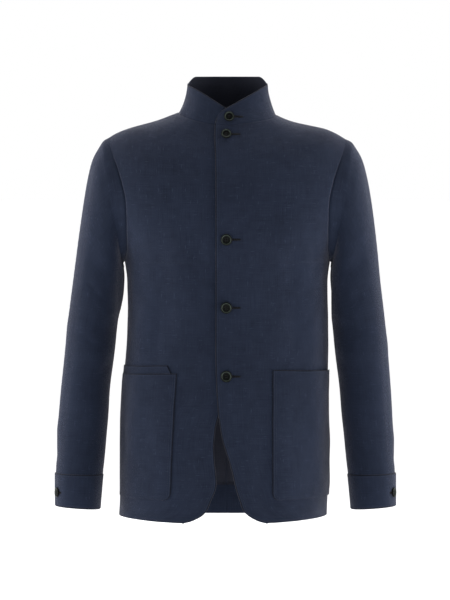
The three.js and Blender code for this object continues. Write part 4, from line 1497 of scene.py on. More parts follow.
def edge_group() -> bpy.types.NodeTree:
    """A lighter line near a finished edge, partly rub and partly a painted highlight, and painted shade
    on its rim, from the distance in millimetres.
    """
    tree, sheet, given = shader_group("Pressed edge", {
        "Rim": ("NodeSocketFloat", 1.4),
        "Away": ("NodeSocketFloat", 2.2),
        "Width": ("NodeSocketFloat", 1.1),
        "Rub": ("NodeSocketFloat", 0.5),
    }, ("Light", "Shade"))
    distance = sheet.add("ShaderNodeAttribute", attribute_name="edge_mm").outputs["Fac"]

    def close(far: bpy.types.NodeSocket, reach: bpy.types.NodeSocket) -> bpy.types.NodeSocket:
        """One at no distance, zero from the reach on."""
        return sheet.maths("SUBTRACT", 1.0, sheet.maths(
            "MINIMUM", sheet.maths("DIVIDE", far, reach), 1.0))

    # Light is the lighter line a little in from the edge, partly rub and partly a painted highlight.
    # Shade is painted shade, darkest at the very rim.
    off = sheet.maths("ABSOLUTE", sheet.maths("SUBTRACT", distance, given["Away"]))
    uneven = sheet.maths("MULTIPLY_ADD", given["Rub"], 0.8, 0.6)
    end_group(sheet, {"Light": sheet.maths("MULTIPLY", close(off, given["Width"]), uneven),
                      "Shade": close(distance, given["Rim"])})
    return tree


def new_material(name: str) -> tuple[bpy.types.Material, NodeSheet, bpy.types.Node]:
    """A material with its Principled shader.

    Args:
        name: The material's name.

    Returns:
        The material, its sheet and the shader node.
    """
    material = bpy.data.materials.new(name)
    material.use_nodes = True
    sheet = NodeSheet(material.node_tree)
    return material, sheet, material.node_tree.nodes["Principled BSDF"]


def hue(red: float, green: float, blue: float) -> tuple[float, float, float, float]:
    """A linear colour from screen values of 0 to 255."""
    def linear(value: float) -> float:
        """One channel."""
        part = value / 255
        return part / 12.92 if part <= 0.04045 else ((part + 0.055) / 1.055) ** 2.4
    return linear(red), linear(green), linear(blue), 1.0


@dataclass(frozen=True)
class WovenFinish:
    """A woven cloth: its two yarn colours, weave and sheen, a lighter edge line that is partly rub and
    partly a painted highlight, and painted shade at its rims.
    """

    name: str
    dark: tuple[float, float, float, float]
    light: tuple[float, float, float, float]
    # Colour of the lighter edge line: partly rub, partly a painted highlight.
    edge: tuple[float, float, float, float]
    pitch: float = 0.0009
    slubs: float = 1.0
    relief: float = 0.00022
    relief_strength: float = 0.8
    rough: float = 0.9
    sheen: float = 0.21
    sheen_rough: float = 0.35
    sheen_tint: tuple[float, float, float, float] = (0.82, 0.82, 1.0, 1.0)
    specular: float = 0.15
    # Strength of the edge line (partly a painted highlight), strength of the painted rim shade, and the
    # painted shade colour.
    edge_light: float = 0.16
    rim_shade: float = 0.8
    shaded: tuple[float, float, float, float] = hue(3, 4, 9)

    def make(self, yarns: bpy.types.NodeTree, edges: bpy.types.NodeTree) -> bpy.types.Material:
        """The finish's material.

        Args:
            yarns: The weave group.
            edges: The edge group.

        Returns:
            The material.
        """
        material, sheet, shader = new_material(self.name)
        cut = sheet.add("ShaderNodeUVMap", uv_map="cut")
        weave = sheet.add("ShaderNodeGroup", node_tree=yarns)
        sheet.put(weave.inputs["Cut"], cut.outputs[0])
        sheet.put(weave.inputs["Pitch"], self.pitch)
        sheet.put(weave.inputs["Slubs"], self.slubs)
        pressed = sheet.add("ShaderNodeGroup", node_tree=edges)
        sheet.put(pressed.inputs["Rub"], weave.outputs["Rub"])
        colour = sheet.mix(weave.outputs["Tone"], self.dark, self.light)
        # Mixes in the edge line, partly rub and partly a painted highlight, then the painted shade at
        # the rims.
        colour = sheet.mix(sheet.maths("MULTIPLY", pressed.outputs["Light"], self.edge_light),
                           colour, self.edge)
        colour = sheet.mix(sheet.maths("MULTIPLY", pressed.outputs["Shade"], self.rim_shade),
                           colour, self.shaded)
        sheet.put(shader.inputs["Base Color"], colour)
        sheet.put(shader.inputs["Roughness"], sheet.between(
            weave.outputs["Tone"], 0.0, 1.0, self.rough + 0.05, self.rough - 0.08))
        shader.inputs["Sheen Weight"].default_value = self.sheen
        shader.inputs["Sheen Roughness"].default_value = self.sheen_rough
        shader.inputs["Sheen Tint"].default_value = self.sheen_tint
        shader.inputs["Specular IOR Level"].default_value = self.specular
        sheet.bump(shader, weave.outputs["Height"], self.relief, self.relief_strength)
        return material


@dataclass(frozen=True)
class ThreadFinish:
    """A twisted sewing thread."""

    name: str
    dark: tuple[float, float, float, float]
    light: tuple[float, float, float, float]
    rough: float = 0.75
    sheen: float = 0.08
    shine: float = 0.15
    relief: float = 0.0001

    def make(self) -> bpy.types.Material:
        """The finish's material."""
        material, sheet, shader = new_material(self.name)
        place = sheet.add("ShaderNodeTexCoord").outputs["Object"]
        strand = sheet.noise(place, (2600.0, 2600.0, 2600.0), 3.0)
        sheet.put(shader.inputs["Base Color"], sheet.mix(strand, self.dark, self.light))
        shader.inputs["Roughness"].default_value = self.rough
        shader.inputs["Sheen Weight"].default_value = self.sheen
        shader.inputs["Specular IOR Level"].default_value = self.shine
        sheet.bump(shader, strand, self.relief)
        return material


@dataclass(frozen=True)
class HornFinish:
    """Dark polished horn with cloudy streaks and a paler rim, which is a painted highlight."""

    name: str = "Dark horn"
    dark: tuple[float, float, float, float] = hue(3, 5, 4)
    cloudy: tuple[float, float, float, float] = hue(12, 16, 14)
    # Colour of the painted highlight on the raised rim.
    rim: tuple[float, float, float, float] = hue(72, 82, 75)
    rough: float = 0.34
    shine: float = 0.09
    relief: float = 0.0001
    relief_strength: float = 0.3

    def make(self) -> bpy.types.Material:
        """The finish's material."""
        material, sheet, shader = new_material(self.name)
        place = sheet.add("ShaderNodeTexCoord").outputs["Object"]
        cloud = sheet.noise(place, (260.0, 260.0, 90.0), 4.0)
        fibre = sheet.noise(place, (900.0, 900.0, 160.0), 2.0)
        streaks = sheet.between(sheet.maths("MULTIPLY_ADD", fibre, 0.4, cloud), 0.55, 0.95)
        # The rim attribute places a painted highlight on the raised rim, made uneven by the cloud.
        rim = sheet.add("ShaderNodeAttribute", attribute_name="rim")
        rim_highlight = sheet.maths("MULTIPLY", rim.outputs["Fac"], sheet.between(cloud, 0.3, 0.7, 0.35, 1.0))
        colour = sheet.mix(streaks, self.dark, self.cloudy)
        sheet.put(shader.inputs["Base Color"], sheet.mix(rim_highlight, colour, self.rim))
        sheet.put(shader.inputs["Roughness"], sheet.between(
            fibre, 0.2, 0.8, self.rough - 0.06, self.rough + 0.14))
        shader.inputs["Specular IOR Level"].default_value = self.shine
        sheet.bump(shader, fibre, self.relief, self.relief_strength)
        return material


class Finishes:
    """All materials of the jacket, made once."""

    def __init__(self) -> None:
        """Makes the shared groups and the materials."""
        yarns, edges = yarn_group(), edge_group()
        # The third colour is each cloth's edge line, partly rub and partly a painted highlight. On the
        # lining the strong edge line is a painted highlight along its seams, and its rim shade is
        # painted shade.
        self.cloth = WovenFinish("Navy slubbed cloth", hue(14, 20, 33), hue(35, 44, 64),
                                 hue(58, 64, 82)).make(yarns, edges)
        self.lining = WovenFinish("Dark navy lining", hue(24, 26, 36), hue(42, 45, 58),
                                  hue(66, 72, 88), pitch=0.0005, slubs=0.1, relief=0.00006,
                                  rough=0.6, sheen=0.1, edge_light=0.8, rim_shade=0.1).make(yarns, edges)
        self.thread = ThreadFinish("Navy thread", hue(20, 24, 36), hue(46, 52, 70)).make()
        self.dark_thread = ThreadFinish("Blue-black thread", hue(4, 5, 8), hue(13, 14, 20)).make()
        self.horn = HornFinish().make()


class StitchTree:
    """Geometry nodes that lay short threads along a path of edges."""

    INPUTS = (
        ("Pitch", "NodeSocketFloat", 3.0 * MM),
        ("Length", "NodeSocketFloat", 2.4 * MM),
        ("Thickness", "NodeSocketFloat", 0.4 * MM),
        ("Unevenness", "NodeSocketFloat", 0.12),
        ("Sides", "NodeSocketInt", 6),
        ("Seed", "NodeSocketInt", 3),
        ("Thread", "NodeSocketMaterial", None),
    )

    def __init__(self) -> None:
        """Builds the tree."""
        self.tree = bpy.data.node_groups.new("Laid stitches", "GeometryNodeTree")
        face = self.tree.interface
        face.new_socket("Path", in_out="INPUT", socket_type="NodeSocketGeometry")
        for name, kind, usual in self.INPUTS:
            socket = face.new_socket(name, in_out="INPUT", socket_type=kind)
            if usual is not None:
                socket.default_value = usual
        face.new_socket("Stitches", in_out="OUTPUT", socket_type="NodeSocketGeometry")
        sheet = NodeSheet(self.tree)
        start = sheet.add("NodeGroupInput")
        given = {socket.name: socket for socket in start.outputs if socket.name}
        curve = sheet.add("GeometryNodeMeshToCurve")
        sheet.put(curve.inputs["Mesh"], given["Path"])
        placed = sheet.add("GeometryNodeResampleCurve", mode="LENGTH")
        sheet.put(placed.inputs["Curve"], curve.outputs[0])
        sheet.put(placed.inputs["Length"], given["Pitch"])
        copies = sheet.add("GeometryNodeInstanceOnPoints")
        sheet.put(copies.inputs["Points"], placed.outputs[0])
        sheet.put(copies.inputs["Instance"], self._stitch(sheet, given))
        sheet.put(copies.inputs["Rotation"], self._lie(sheet))
        sheet.put(copies.inputs["Scale"], self._size(sheet, given))
        solid = sheet.add("GeometryNodeRealizeInstances")
        sheet.put(solid.inputs[0], copies.outputs[0])
        dressed = sheet.add("GeometryNodeSetMaterial")
        sheet.put(dressed.inputs["Geometry"], solid.outputs[0])
        sheet.put(dressed.inputs["Material"], given["Thread"])
        end = sheet.add("NodeGroupOutput")
        sheet.put(end.inputs[0], dressed.outputs[0])

    def _stitch(self, sheet: NodeSheet,
                given: dict[str, bpy.types.NodeSocket]) -> bpy.types.NodeSocket:
        """One stitch of unit length: a bead drawn out along X."""
        bead = sheet.add("GeometryNodeMeshUVSphere")
        sheet.put(bead.inputs["Segments"], given["Sides"])
        sheet.put(bead.inputs["Rings"], 5)
        sheet.put(bead.inputs["Radius"], 0.5)
        smooth = sheet.add("GeometryNodeSetShadeSmooth")
        sheet.put(smooth.inputs[0], bead.outputs["Mesh"])
        return smooth.outputs[0]

    def _lie(self, sheet: NodeSheet) -> bpy.types.NodeSocket:
        """Turns each stitch along the path's lie attribute, flat on its face attribute."""
        turned = sheet.add("FunctionNodeAxesToRotation", primary_axis="X", secondary_axis="Z")
        for axis, attribute in (("Primary Axis", "lie"), ("Secondary Axis", "face")):
            found = sheet.add("GeometryNodeInputNamedAttribute", data_type="FLOAT_VECTOR")
            sheet.put(found.inputs["Name"], attribute)
            sheet.put(turned.inputs[axis], found.outputs["Attribute"])
        return turned.outputs[0]

    def _size(self, sheet: NodeSheet,
              given: dict[str, bpy.types.NodeSocket]) -> bpy.types.NodeSocket:
        """Each stitch's own length and thickness, a little uneven."""
        wobble = sheet.add("FunctionNodeRandomValue", data_type="FLOAT")
        sheet.put(wobble.inputs[2], sheet.maths("SUBTRACT", 1.0, given["Unevenness"]))
        sheet.put(wobble.inputs[3], sheet.maths("ADD", 1.0, given["Unevenness"]))
        sheet.put(wobble.inputs["Seed"], given["Seed"])
        size = sheet.add("ShaderNodeCombineXYZ")
        sheet.put(size.inputs[0], sheet.maths("MULTIPLY", given["Length"], wobble.outputs[1]))
        sheet.put(size.inputs[1], given["Thickness"])
        sheet.put(size.inputs[2], given["Thickness"])
        return size.outputs[0]

    def sew(self, name: str, paths: list["StitchPath"], **sizes: object) -> bpy.types.Object:
        """Lays stitches along paths and returns them as a plain mesh object.

        Args:
            name: The object's name.
            paths: The paths.
            sizes: Values of the tree's inputs by name.

        Returns:
            The object.
        """
        carrier = StitchPath.joined(name + "_path", paths)
        modifier = carrier.modifiers.new("Stitches", "NODES")
        modifier.node_group = self.tree
        for item in self.tree.interface.items_tree:
            if item.in_out == "INPUT" and item.name in sizes:
                modifier[item.identifier] = sizes[item.name]
        graph = bpy.context.evaluated_depsgraph_get()
        mesh = bpy.data.meshes.new_from_object(carrier.evaluated_get(graph))
        mesh.name = name
        bpy.data.objects.remove(carrier)
        return put_out(name, mesh)


@dataclass
class StitchPath:
    """A run of points with the way each stitch lies and the way its cloth faces."""

    points: np.ndarray
    lie: np.ndarray
    face: np.ndarray

    @classmethod
    def along(cls, points: np.ndarray, face: np.ndarray, proud: float) -> "StitchPath":
        """Stitches that lie along their own path, a little proud of the cloth."""
        return cls(points + face * proud, unit(np.gradient(points, axis=0)), face)

    @staticmethod
    def joined(name: str, paths: list["StitchPath"]) -> bpy.types.Object:
        """A mesh of edges that holds all the paths with their attributes."""
        points = np.concatenate([path.points for path in paths]) * MM
        edges, first = [], 0
        for path in paths:
            edges += [(first + n, first + n + 1) for n in range(len(path.points) - 1)]
            first += len(path.points)
        mesh = plain_mesh(name, points, [], edges)
        for label, values in (("lie", [p.lie for p in paths]), ("face", [p.face for p in paths])):
            layer = mesh.attributes.new(label, "FLOAT_VECTOR", "POINT")
            layer.data.foreach_set("vector", np.concatenate(values).astype(np.float32).ravel())
        return put_out(name, mesh)


@dataclass(frozen=True)
class EdgeStitching:
    """Machine stitching near a piece's finished edges."""

    pitch: float = 3.1
    length: float = 2.5
    thickness: float = 0.42
    proud: float = 0.08

    def path(self, grid: ClothGrid, *runs: tuple[int | slice, int | slice]) -> StitchPath:
        """Stitching along runs of grid places, one after the other."""
        points, face = (np.concatenate([values[run] for run in runs])
                        for values in (grid.points, grid.normals))
        return StitchPath.along(points, face, self.proud)

    def sizes(self, finishes: Finishes) -> dict[str, object]:
        """The stitch tree's inputs for this stitching."""
        return {
            "Pitch": self.pitch * MM,
            "Length": self.length * MM,
            "Thickness": self.thickness * MM,
            "Thread": finishes.thread,
        }


@dataclass
class CutPiece:
    """A made piece of cloth with its grid and the stitches on it."""

    made: bpy.types.Object
    node: str
    grid: ClothGrid
    paths: list[StitchPath] = field(default_factory=list)
    sewn: list[bpy.types.Object] = field(default_factory=list)

    def size(self) -> tuple[float, float]:
        """Width and length of the cut in metres."""
        flat = self.grid.flat
        return float(np.ptp(flat[..., 0])) * MM, float(np.ptp(flat[..., 1])) * MM

    def near(self, targets: np.ndarray, spread: float = 2.2) -> tuple[np.ndarray, np.ndarray]:
        """The cloth's points and outward directions nearest to some targets.

        Args:
            targets: Points close to the cloth.
            spread: How far away neighbours are averaged.

        Returns:
            One point and one direction for each target.
        """
        cloth, outward = self.grid.points.reshape(-1, 3), self.grid.normals.reshape(-1, 3)
        points, faces = [], []
        for target in targets:
            away = ((cloth - target) ** 2).sum(1)
            weight = np.exp(-(away - away.min()) / spread**2)
            weight = weight / weight.sum()
            face = unit(weight @ outward)
            middle = weight @ cloth
            points.append(target + face * np.dot(middle - target, face))
            faces.append(face)
        return np.array(points), np.array(faces)

    def declare(self, rests_on: tuple[str, ...] = ()) -> None:
        """Attaches the piece and its stitches to the root, hides the part that it replaces, and logs the
        size that it was cut to.
        """
        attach(self.made, "root")
        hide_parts(self.node)
        for stitches in self.sewn:
            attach(stitches, "root")
        width, length = self.size()
        min(self.grid.area() * MM * MM, width * length)
        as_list(self.sewn)
        LOG.info("%s cut %.3f by %.3f m, %d faces", self.made.name, width, length,
                 len(self.made.data.polygons))


@dataclass
class Needlework:
    """Visible edge stitching; buttonholes are worked with its stitch tree."""

    tree: StitchTree
    finishes: Finishes
    edge: EdgeStitching = field(default_factory=EdgeStitching)
    near: int = 3
    second: int = 6

    def front(self, piece: CutPiece) -> None:
        """A row of stitching along a front's edge."""
        piece.paths.append(self.edge.path(piece.grid, np.s_[self.near:, self.second]))

    def pocket(self, piece: CutPiece) -> None:
        """Two rows of stitching along a pocket's foot and front edge."""
        for line in (self.near, self.second):
            foot, rise = np.s_[line, :line:-1], np.s_[line:, line]
            piece.paths.append(self.edge.path(piece.grid, foot, rise))

    def flap(self, piece: CutPiece) -> None:
        """Stitching along a flap's front edge."""
        piece.paths.append(self.edge.path(piece.grid, np.s_[:, self.near]))

    def collar(self, piece: CutPiece) -> None:
        """Stitching along the collar's top edge and both ends."""
        low, high = self.near, -1 - self.near
        for run in (np.s_[high, low:high], np.s_[:high, low], np.s_[:high, high]):
            piece.paths.append(self.edge.path(piece.grid, run))

    def cuff(self, piece: CutPiece) -> None:
        """Stitching round the cuff's two edges."""
        for row in (self.near, -1 - self.near):
            piece.paths.append(self.edge.path(piece.grid, np.s_[row, :]))

    def sew(self, piece: CutPiece) -> None:
        """Lays the piece's edge stitching."""
        if piece.paths:
            name = f"{piece.node}_stitches"
            piece.sewn.append(self.tree.sew(name, piece.paths, **self.edge.sizes(self.finishes)))


@dataclass(frozen=True)
class Buttonhole:
    """A worked buttonhole: close stitches on both sides of a slit and a bar at its end."""

    start: float = -2.0
    end: float = 23.0
    side_offset: float = 1.5
    tip: float = 0.5
    stitch: float = 2.4
    pitch: float = 0.52
    thickness: float = 0.62
    bar: float = 3.6
    bar_run: float = 1.6
    proud: float = 0.12
    step: float = 1.0

    def work(self, name: str, cloth: CutPiece, centre: np.ndarray, along: np.ndarray,
             tree: StitchTree, finishes: Finishes) -> None:
        """Works the buttonhole in the cloth beside a button.

        Args:
            name: The hole's name.
            cloth: The piece that it is worked in.
            centre: The button's centre.
            along: The way the slit runs.
            tree: The stitch tree.
            finishes: The materials.
        """
        run = np.arange(self.start, self.end + self.step / 2, self.step)
        points, face = cloth.near(centre + along * run[:, None])
        lie = unit(np.gradient(points, axis=0))
        across = unit(np.cross(face, lie))
        narrow = np.linspace(1.0, self.tip, len(points))[:, None]
        paths = [StitchPath(points + across * (side * self.side_offset) * narrow + face * self.proud,
                            across, face) for side in (-1, 1)]
        cloth.sewn.append(tree.sew(f"{name}_sides", paths, **self._sizes(self.stitch, finishes)))
        last = slice(-2, None)
        tail = points[-1] + lie[-1] * np.array([[0.0], [self.bar_run]]) + face[last] * self.proud
        bar = StitchPath(tail, across[last], face[last])
        cloth.sewn.append(tree.sew(f"{name}_bar", [bar], **self._sizes(self.bar, finishes)))
        core = StitchPath(points - face * self.proud, lie, face)
        sizes = self._sizes(self.step * 2, finishes) | {"Pitch": self.step * MM}
        cloth.sewn.append(tree.sew(f"{name}_slit", [core], **sizes))

    def _sizes(self, length: float, finishes: Finishes) -> dict[str, object]:
        """The stitch tree's inputs for stitches of that length."""
        return {
            "Pitch": self.pitch * MM,
            "Length": length * MM,
            "Thickness": self.thickness * MM,
            "Sides": 5,
            "Thread": finishes.dark_thread,
        }


@dataclass
class HornButton:
    """A round four-hole horn button with a raised rim, sewn on with thread."""

    node: str
    finishes: Finishes
    profile: SmoothTable = SmoothTable(
        ("place", "out", "high"),
        (
            (0, 0.0, 0.04),
            (1, 0.55, 0.04),
            (2, 0.84, 0.08),
            (3, 0.965, 0.28),
            (4, 1.0, 0.56),
            (5, 0.975, 0.82),
            (6, 0.90, 0.985),
            (7, 0.82, 0.96),
            (8, 0.74, 0.74),
            (9, 0.64, 0.54),
            (10, 0.42, 0.46),
            (11, 0.0, 0.45),
        ),
    )
    profile_steps: int = 45
    segments: int = 64
    hole_radius: float = 0.095
    hole_offset: float = 0.17
    hole_sides: int = 16
    drill_past: float = 1.0
    # Where the painted rim highlight lies: its middle and spread as shares of the radius, and its rise
    # from the back as shares of the thickness.
    rim_at: float = 0.76
    rim_spread: float = 0.075
    rim_from: float = 0.4
    rim_to: float = 0.9
    sharp_angle: float = 40.0
    thread_radius: float = 0.42
    thread_sides: int = 7
    thread_points: int = 9
    strand_shift: float = 0.4
    thread_root: float = 1.2
    thread_rise: float = 1.75
    thread_round: float = 0.55
    thread_clear: float = 0.01

    def __post_init__(self) -> None:
        """Finds the button's place, the way it faces and its size from its solid."""
        points = np.array([tuple(v.co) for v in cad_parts[self.node].data.vertices]) / MM
        self.centre = (points.min(0) + points.max(0)) / 2
        for _ in range(2):
            spread = points - self.centre
            _, _, axes = np.linalg.svd(spread, full_matrices=False)
            axis = axes[-1]
            out = self.centre * np.array([1, 1, 0])
            self.face = axis if np.dot(axis, out) > 0 else -axis
            depth = spread @ self.face
            flat = spread - depth[:, None] * self.face
            self.centre = self.centre + self.face * (depth.min() + depth.max()) / 2
        self.radius = float(np.linalg.norm(flat, axis=1).max())
        self.thickness = float(np.ptp(depth))
        self.level = unit(np.cross(np.array([0.0, 0.0, 1.0]), self.face))

    def _matrix(self) -> Matrix:
        """Turns and moves a button lying on XY to its place, in millimetres."""
        upward = np.cross(self.face, self.level)
        back = self.centre - self.face * self.thickness / 2
        columns = [self.level, upward, self.face, back]
        rows = [[float(c[k]) for c in columns] for k in range(3)]
        return Matrix(rows + [[0.0, 0.0, 0.0, 1.0]])

    @property
    def middles(self) -> np.ndarray:
        """Heights of the back's and the dish's middle, as shares of the thickness."""
        return self.profile.rows[[0, -1], self.profile.columns.index("high")]

    def _lathe(self) -> tuple[np.ndarray, list[tuple[int, ...]]]:
        """Points and faces of the button without its holes."""
        last = self.profile.rows[-1, 0]
        cut = self.profile.at(np.linspace(0, last, self.profile_steps)[1:-1])
        angles = 2 * math.pi * np.arange(self.segments) / self.segments
        out = cut["out"][:, None] * self.radius
        high = cut["high"][:, None] * self.thickness + 0 * angles
        ring = np.stack([out * np.cos(angles), out * np.sin(angles), high], -1)
        middles = [[0, 0, high * self.thickness] for high in self.middles]
        points = np.concatenate([ring.reshape(-1, 3), middles])
        count, rows = self.segments, len(ring)
        faces: list[tuple[int, ...]] = []
        for j in range(count):
            k = (j + 1) % count
            for i in range(rows - 1):
                faces.append((i * count + j, i * count + k, (i + 1) * count + k, (i + 1) * count + j))
            faces.append((rows * count, k, j))
            top = (rows - 1) * count
            faces.append((rows * count + 1, top + j, top + k))
        return points, faces

    def build(self) -> bpy.types.Object:
        """Makes the button with its holes.

        Returns:
            The object.
        """
        points, faces = self._lathe()
        button = put_out(f"{self.node}_horn", plain_mesh(self.node, points, faces))
        drill = self._drill()
        cut = button.modifiers.new("Holes", "BOOLEAN")
        cut.operation, cut.object, cut.solver = "DIFFERENCE", drill, "EXACT"
        graph = bpy.context.evaluated_depsgraph_get()
        holed = bpy.data.meshes.new_from_object(button.evaluated_get(graph))
        button.modifiers.clear()
        bpy.data.objects.remove(drill)
        button.data = holed
        self._dress(button)
        holed.transform(Matrix.Scale(MM, 4) @ self._matrix())
        return button

    def _drill(self) -> bpy.types.Object:
        """Four rods where the holes go."""
        points, faces, count = [], [], self.hole_sides
        for x, y in self._hole_places():
            first = len(points)
            for high in (-self.drill_past, self.thickness + self.drill_past):
                for side in range(count):
                    angle = 2 * math.pi * side / count
                    points.append((x + self.hole_radius * self.radius * math.cos(angle),
                                   y + self.hole_radius * self.radius * math.sin(angle), high))
            low = [first + n for n in range(count)]
            top = [first + count + n for n in range(count)]
            faces += [tuple(reversed(low)), tuple(top)]
            for n in range(count):
                after = (n + 1) % count
                faces.append((low[n], low[after], top[after], top[n]))
        return put_out("holes", plain_mesh("holes", points, faces))

    def _hole_places(self) -> list[tuple[float, float]]:
        """Centres of the four holes."""
        away = self.hole_offset * self.radius
        return [(x * away, y * away) for x, y in ((-1, -1), (1, -1), (1, 1), (-1, 1))]

    def _dress(self, button: bpy.types.Object) -> None:
        """Gives the horn its finish and marks its raised rim for the painted highlight."""
        mesh = button.data
        mesh.materials.clear()
        mesh.materials.append(self.finishes.horn)
        places = np.array([tuple(v.co) for v in mesh.vertices])
        share = np.hypot(places[:, 0], places[:, 1]) / self.radius
        front = ease(places[:, 2] / self.thickness, self.rim_from, self.rim_to)
        rim = bell(share - self.rim_at, self.rim_spread) * front
        mesh.attributes.new("rim", "FLOAT", "POINT").data.foreach_set("value", rim.astype(np.float32))
        mesh.polygons.foreach_set("use_smooth", [True] * len(mesh.polygons))
        mesh.set_sharp_from_angle(angle=math.radians(self.sharp_angle))

    def thread_paths(self) -> list[np.ndarray]:
        """Two bars of thread between the holes, in the button's own place."""
        top = (self.middles[1] + self.thread_clear) * self.thickness
        low, right, _, _ = self._hole_places()
        across = np.linspace(0, 1, self.thread_points)
        x = low[0] + (right[0] - low[0]) * across
        z = top - self.thread_root + self.thread_rise * np.sin(HALF_TURN * across) ** self.thread_round
        place = np.array(self._matrix())
        return [np.stack([x, y + 0 * x, z], -1) @ place[:3, :3].T + place[:3, 3]
                for y in (low[1], -low[1])]

    def thread(self) -> bpy.types.Object:
        """Makes the sewing thread over the button's face."""
        points, faces, sides = [], [], self.thread_sides
        upward = np.cross(self.face, self.level)
        turn = 2 * math.pi * np.arange(sides)[:, None] / sides
        lines = [bar + upward * shift for bar in self.thread_paths()
                 for shift in (-self.strand_shift, self.strand_shift)]
        for line in lines:
            first = len(points)
            along = unit(np.gradient(line, axis=0))
            side = unit(np.cross(along, upward))
            other = np.cross(along, side)
            arms = side[:, None] * np.cos(turn) + other[:, None] * np.sin(turn)
            points += list(((line[:, None] + arms * self.thread_radius) * MM).reshape(-1, 3))
            for n in range(len(line) - 1):
                for k in range(sides):
                    here, there = first + n * sides + k, first + n * sides + (k + 1) % sides
                    faces.append((here, there, there + sides, here + sides))
            end = first + (len(line) - 1) * sides
            faces += [tuple(first + k for k in reversed(range(sides))),
                      tuple(end + k for k in range(sides))]
        mesh = plain_mesh(f"{self.node}_thread", points, faces)
        mesh.materials.append(self.finishes.dark_thread)
        mesh.polygons.foreach_set("use_smooth", [True] * len(faces))
        return put_out(mesh.name, mesh)


@dataclass(frozen=True)
class Studio:
    """The plain pale room: camera, floor, sky and soft lights. Sizes here are metres."""

    aim: tuple[float, float, float] = (-0.0023, 0.0, -0.3293)
    distance: float = 12.0
    elevation: float = 2.3
    frame_height: float = 1.05
    sensor: float = 36.0
    floor_level: float = -0.93
    floor_radius: float = 30.0
    floor_sides: int = 64
    floor_glow: float = 0.63
    sky: float = 0.42

    def camera(self) -> None:
        """Places the camera at the photograph's viewing angle."""
        tilt = math.radians(self.elevation)
        data = bpy.data.cameras.new("camera")
        data.sensor_width = self.sensor
        data.lens = self.sensor * self.distance / self.frame_height
        data.clip_end = 100.0
        camera = put_out("camera", data)
        away = Vector((0.0, -math.cos(tilt), math.sin(tilt))) * self.distance
        camera.location = Vector(self.aim) + away
        camera.rotation_euler = (QUARTER_TURN - tilt, 0.0, 0.0)
        bpy.context.scene.camera = camera

    def floor(self) -> None:
        """Lays a wide pale floor."""
        angles = [2 * math.pi * n / self.floor_sides for n in range(self.floor_sides)]
        points = [(self.floor_radius * math.cos(a), self.floor_radius * math.sin(a), self.floor_level)
                  for a in angles]
        mesh = plain_mesh("floor", points, [tuple(range(self.floor_sides))])
        material, _, shader = new_material("Pale floor")
        shader.inputs["Base Color"].default_value = (0.93, 0.93, 0.93, 1.0)
        shader.inputs["Roughness"].default_value = 0.9
        shader.inputs["Emission Color"].default_value = (1.0, 1.0, 1.0, 1.0)
        shader.inputs["Emission Strength"].default_value = self.floor_glow
        mesh.materials.append(material)
        put_out("floor", mesh)

    def light(self) -> None:
        """Sets a white sky and soft lights at the sides, above, in front and behind."""
        world = bpy.data.worlds.new("sky")
        world.use_nodes = True
        sheet = NodeSheet(world.node_tree)
        seen = sheet.add("ShaderNodeLightPath").outputs["Is Camera Ray"]
        sky = world.node_tree.nodes["Background"]
        sky.inputs["Color"].default_value = (1.0, 1.0, 1.0, 1.0)
        sheet.put(sky.inputs["Strength"], sheet.between(seen, 0.0, 1.0, self.sky, 1.0))
        bpy.context.scene.world = world
        bpy.context.scene.view_settings.view_transform = "Standard"
        for name, place, size, power in (
            ("left_light", (-2.6, -0.25, -0.1), 1.8, 60.0),
            ("right_light", (2.6, -0.25, -0.1), 1.8, 60.0),
            ("top_light", (0.0, 0.3, 2.4), 1.8, 44.0),
            ("front_light", (0.0, -3.0, -0.9), 1.6, 3.0),
            ("back_light", (0.0, 2.8, 1.2), 1.8, 30.0),
        ):
            data = bpy.data.lights.new(name, "AREA")
            data.shape, data.size, data.energy = "SQUARE", size, power
            light = put_out(name, data)
            light.location = place
            toward = Vector(self.aim) - Vector(place)
            light.rotation_euler = toward.to_track_quat("-Z", "Y").to_euler()


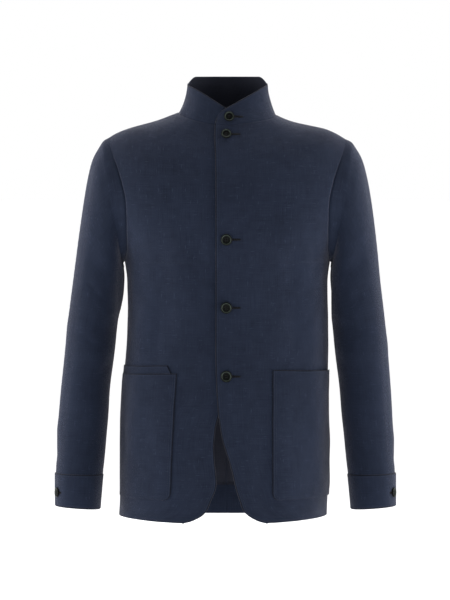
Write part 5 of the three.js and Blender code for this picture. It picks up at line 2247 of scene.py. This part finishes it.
@dataclass
class Jacket:
    """The whole jacket, made piece by piece."""

    finishes: Finishes
    body: BodyForm = field(default_factory=BodyForm)
    sewing: Sewing = field(default_factory=Sewing)
    pieces: dict[str, CutPiece] = field(default_factory=dict)

    def cut_and_form(self) -> None:
        """Makes the sleeves, cuffs, panels, pockets, flap and collar."""
        body, sewing, finishes = self.body, self.sewing, self.finishes
        armhole = Armhole(body)
        made: list[CutPiece] = []
        for side in Side:
            sleeve = Sleeve(body, armhole, sewing, side)
            made += sleeve.build(finishes)
            lap = Lap.OVER if side is Side.LEFT else Lap.UNDER
            made.append(BodyPanel(body, armhole, sewing, sleeve, side, Part.FRONT, lap).build(finishes))
            made.append(BodyPanel(body, armhole, sewing, sleeve, side, Part.BACK).build(finishes))
        left = PatchPocket(body, sewing, Side.LEFT, Lap.OVER, mouth=-446.0, line_top=81.0,
                           line_foot=84.0)
        right = PatchPocket(body, sewing, Side.RIGHT, Lap.UNDER, mouth=-452.0, line_top=86.0,
                            line_foot=94.0, mouth_puff=1.5)
        made += [left.build(finishes), right.build(finishes), PocketFlap(right).build(finishes)]
        made.append(StandCollar(body, sewing).build(finishes))
        self.pieces = {piece.node: piece for piece in made}

    def sew(self) -> None:
        """Lays the visible stitching."""
        needle = Needlework(StitchTree(), self.finishes)
        kinds = {"front": needle.front, "pocket": needle.pocket, "collar": needle.collar,
                 "cuff": needle.cuff}
        for node, piece in self.pieces.items():
            kind = needle.flap if "flap" in node else kinds.get(node.split("_")[0])
            if kind:
                kind(piece)
                needle.sew(piece)
        hole = Buttonhole()
        small = Buttonhole(start=-1.0, end=14.0)
        for node, cloth, along, form in (
            ("button_top", "front_left", (1, 0, 0), hole),
            ("button_middle", "front_left", (1, 0, 0), hole),
            ("button_lower", "front_left", (1, 0, 0), hole),
            ("button_neck", "front_left", (1, 0, 0), hole),
            ("button_collar", "collar", (1, 0, 0), hole),
            ("button_cuff_left", "cuff_left", (0, -1, 0), small),
            ("button_cuff_right", "cuff_right", (0, -1, 0), small),
        ):
            button = HornButton(node, self.finishes)
            form.work(f"{node}_hole", self.pieces[cloth], button.centre,
                      np.array(along, float), needle.tree, self.finishes)
            for part, slot in ((button.build(), "horn"), (button.thread(), "cloth")):
                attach(part, "root")
                if slot == "horn":
                    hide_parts(node)
            LOG.info("%s radius %.1f mm", node, button.radius)

    def declare(self) -> None:
        """Attaches every piece of cloth and hides the parts that they replace. Pockets and the flap lie
        on the front of their side.
        """
        for node, piece in self.pieces.items():
            front = f"front_{node.split('_')[-1]}"
            piece.declare((front,) if node.startswith("pocket") else ())


def main() -> None:
    """Builds the jacket in its frame."""
    logging.basicConfig(level=logging.INFO, format="%(message)s")
    studio = Studio()
    studio.camera()
    studio.floor()
    studio.light()
    jacket = Jacket(Finishes())
    jacket.cut_and_form()
    jacket.sew()
    jacket.declare()


if __name__ == "__main__":
    main()
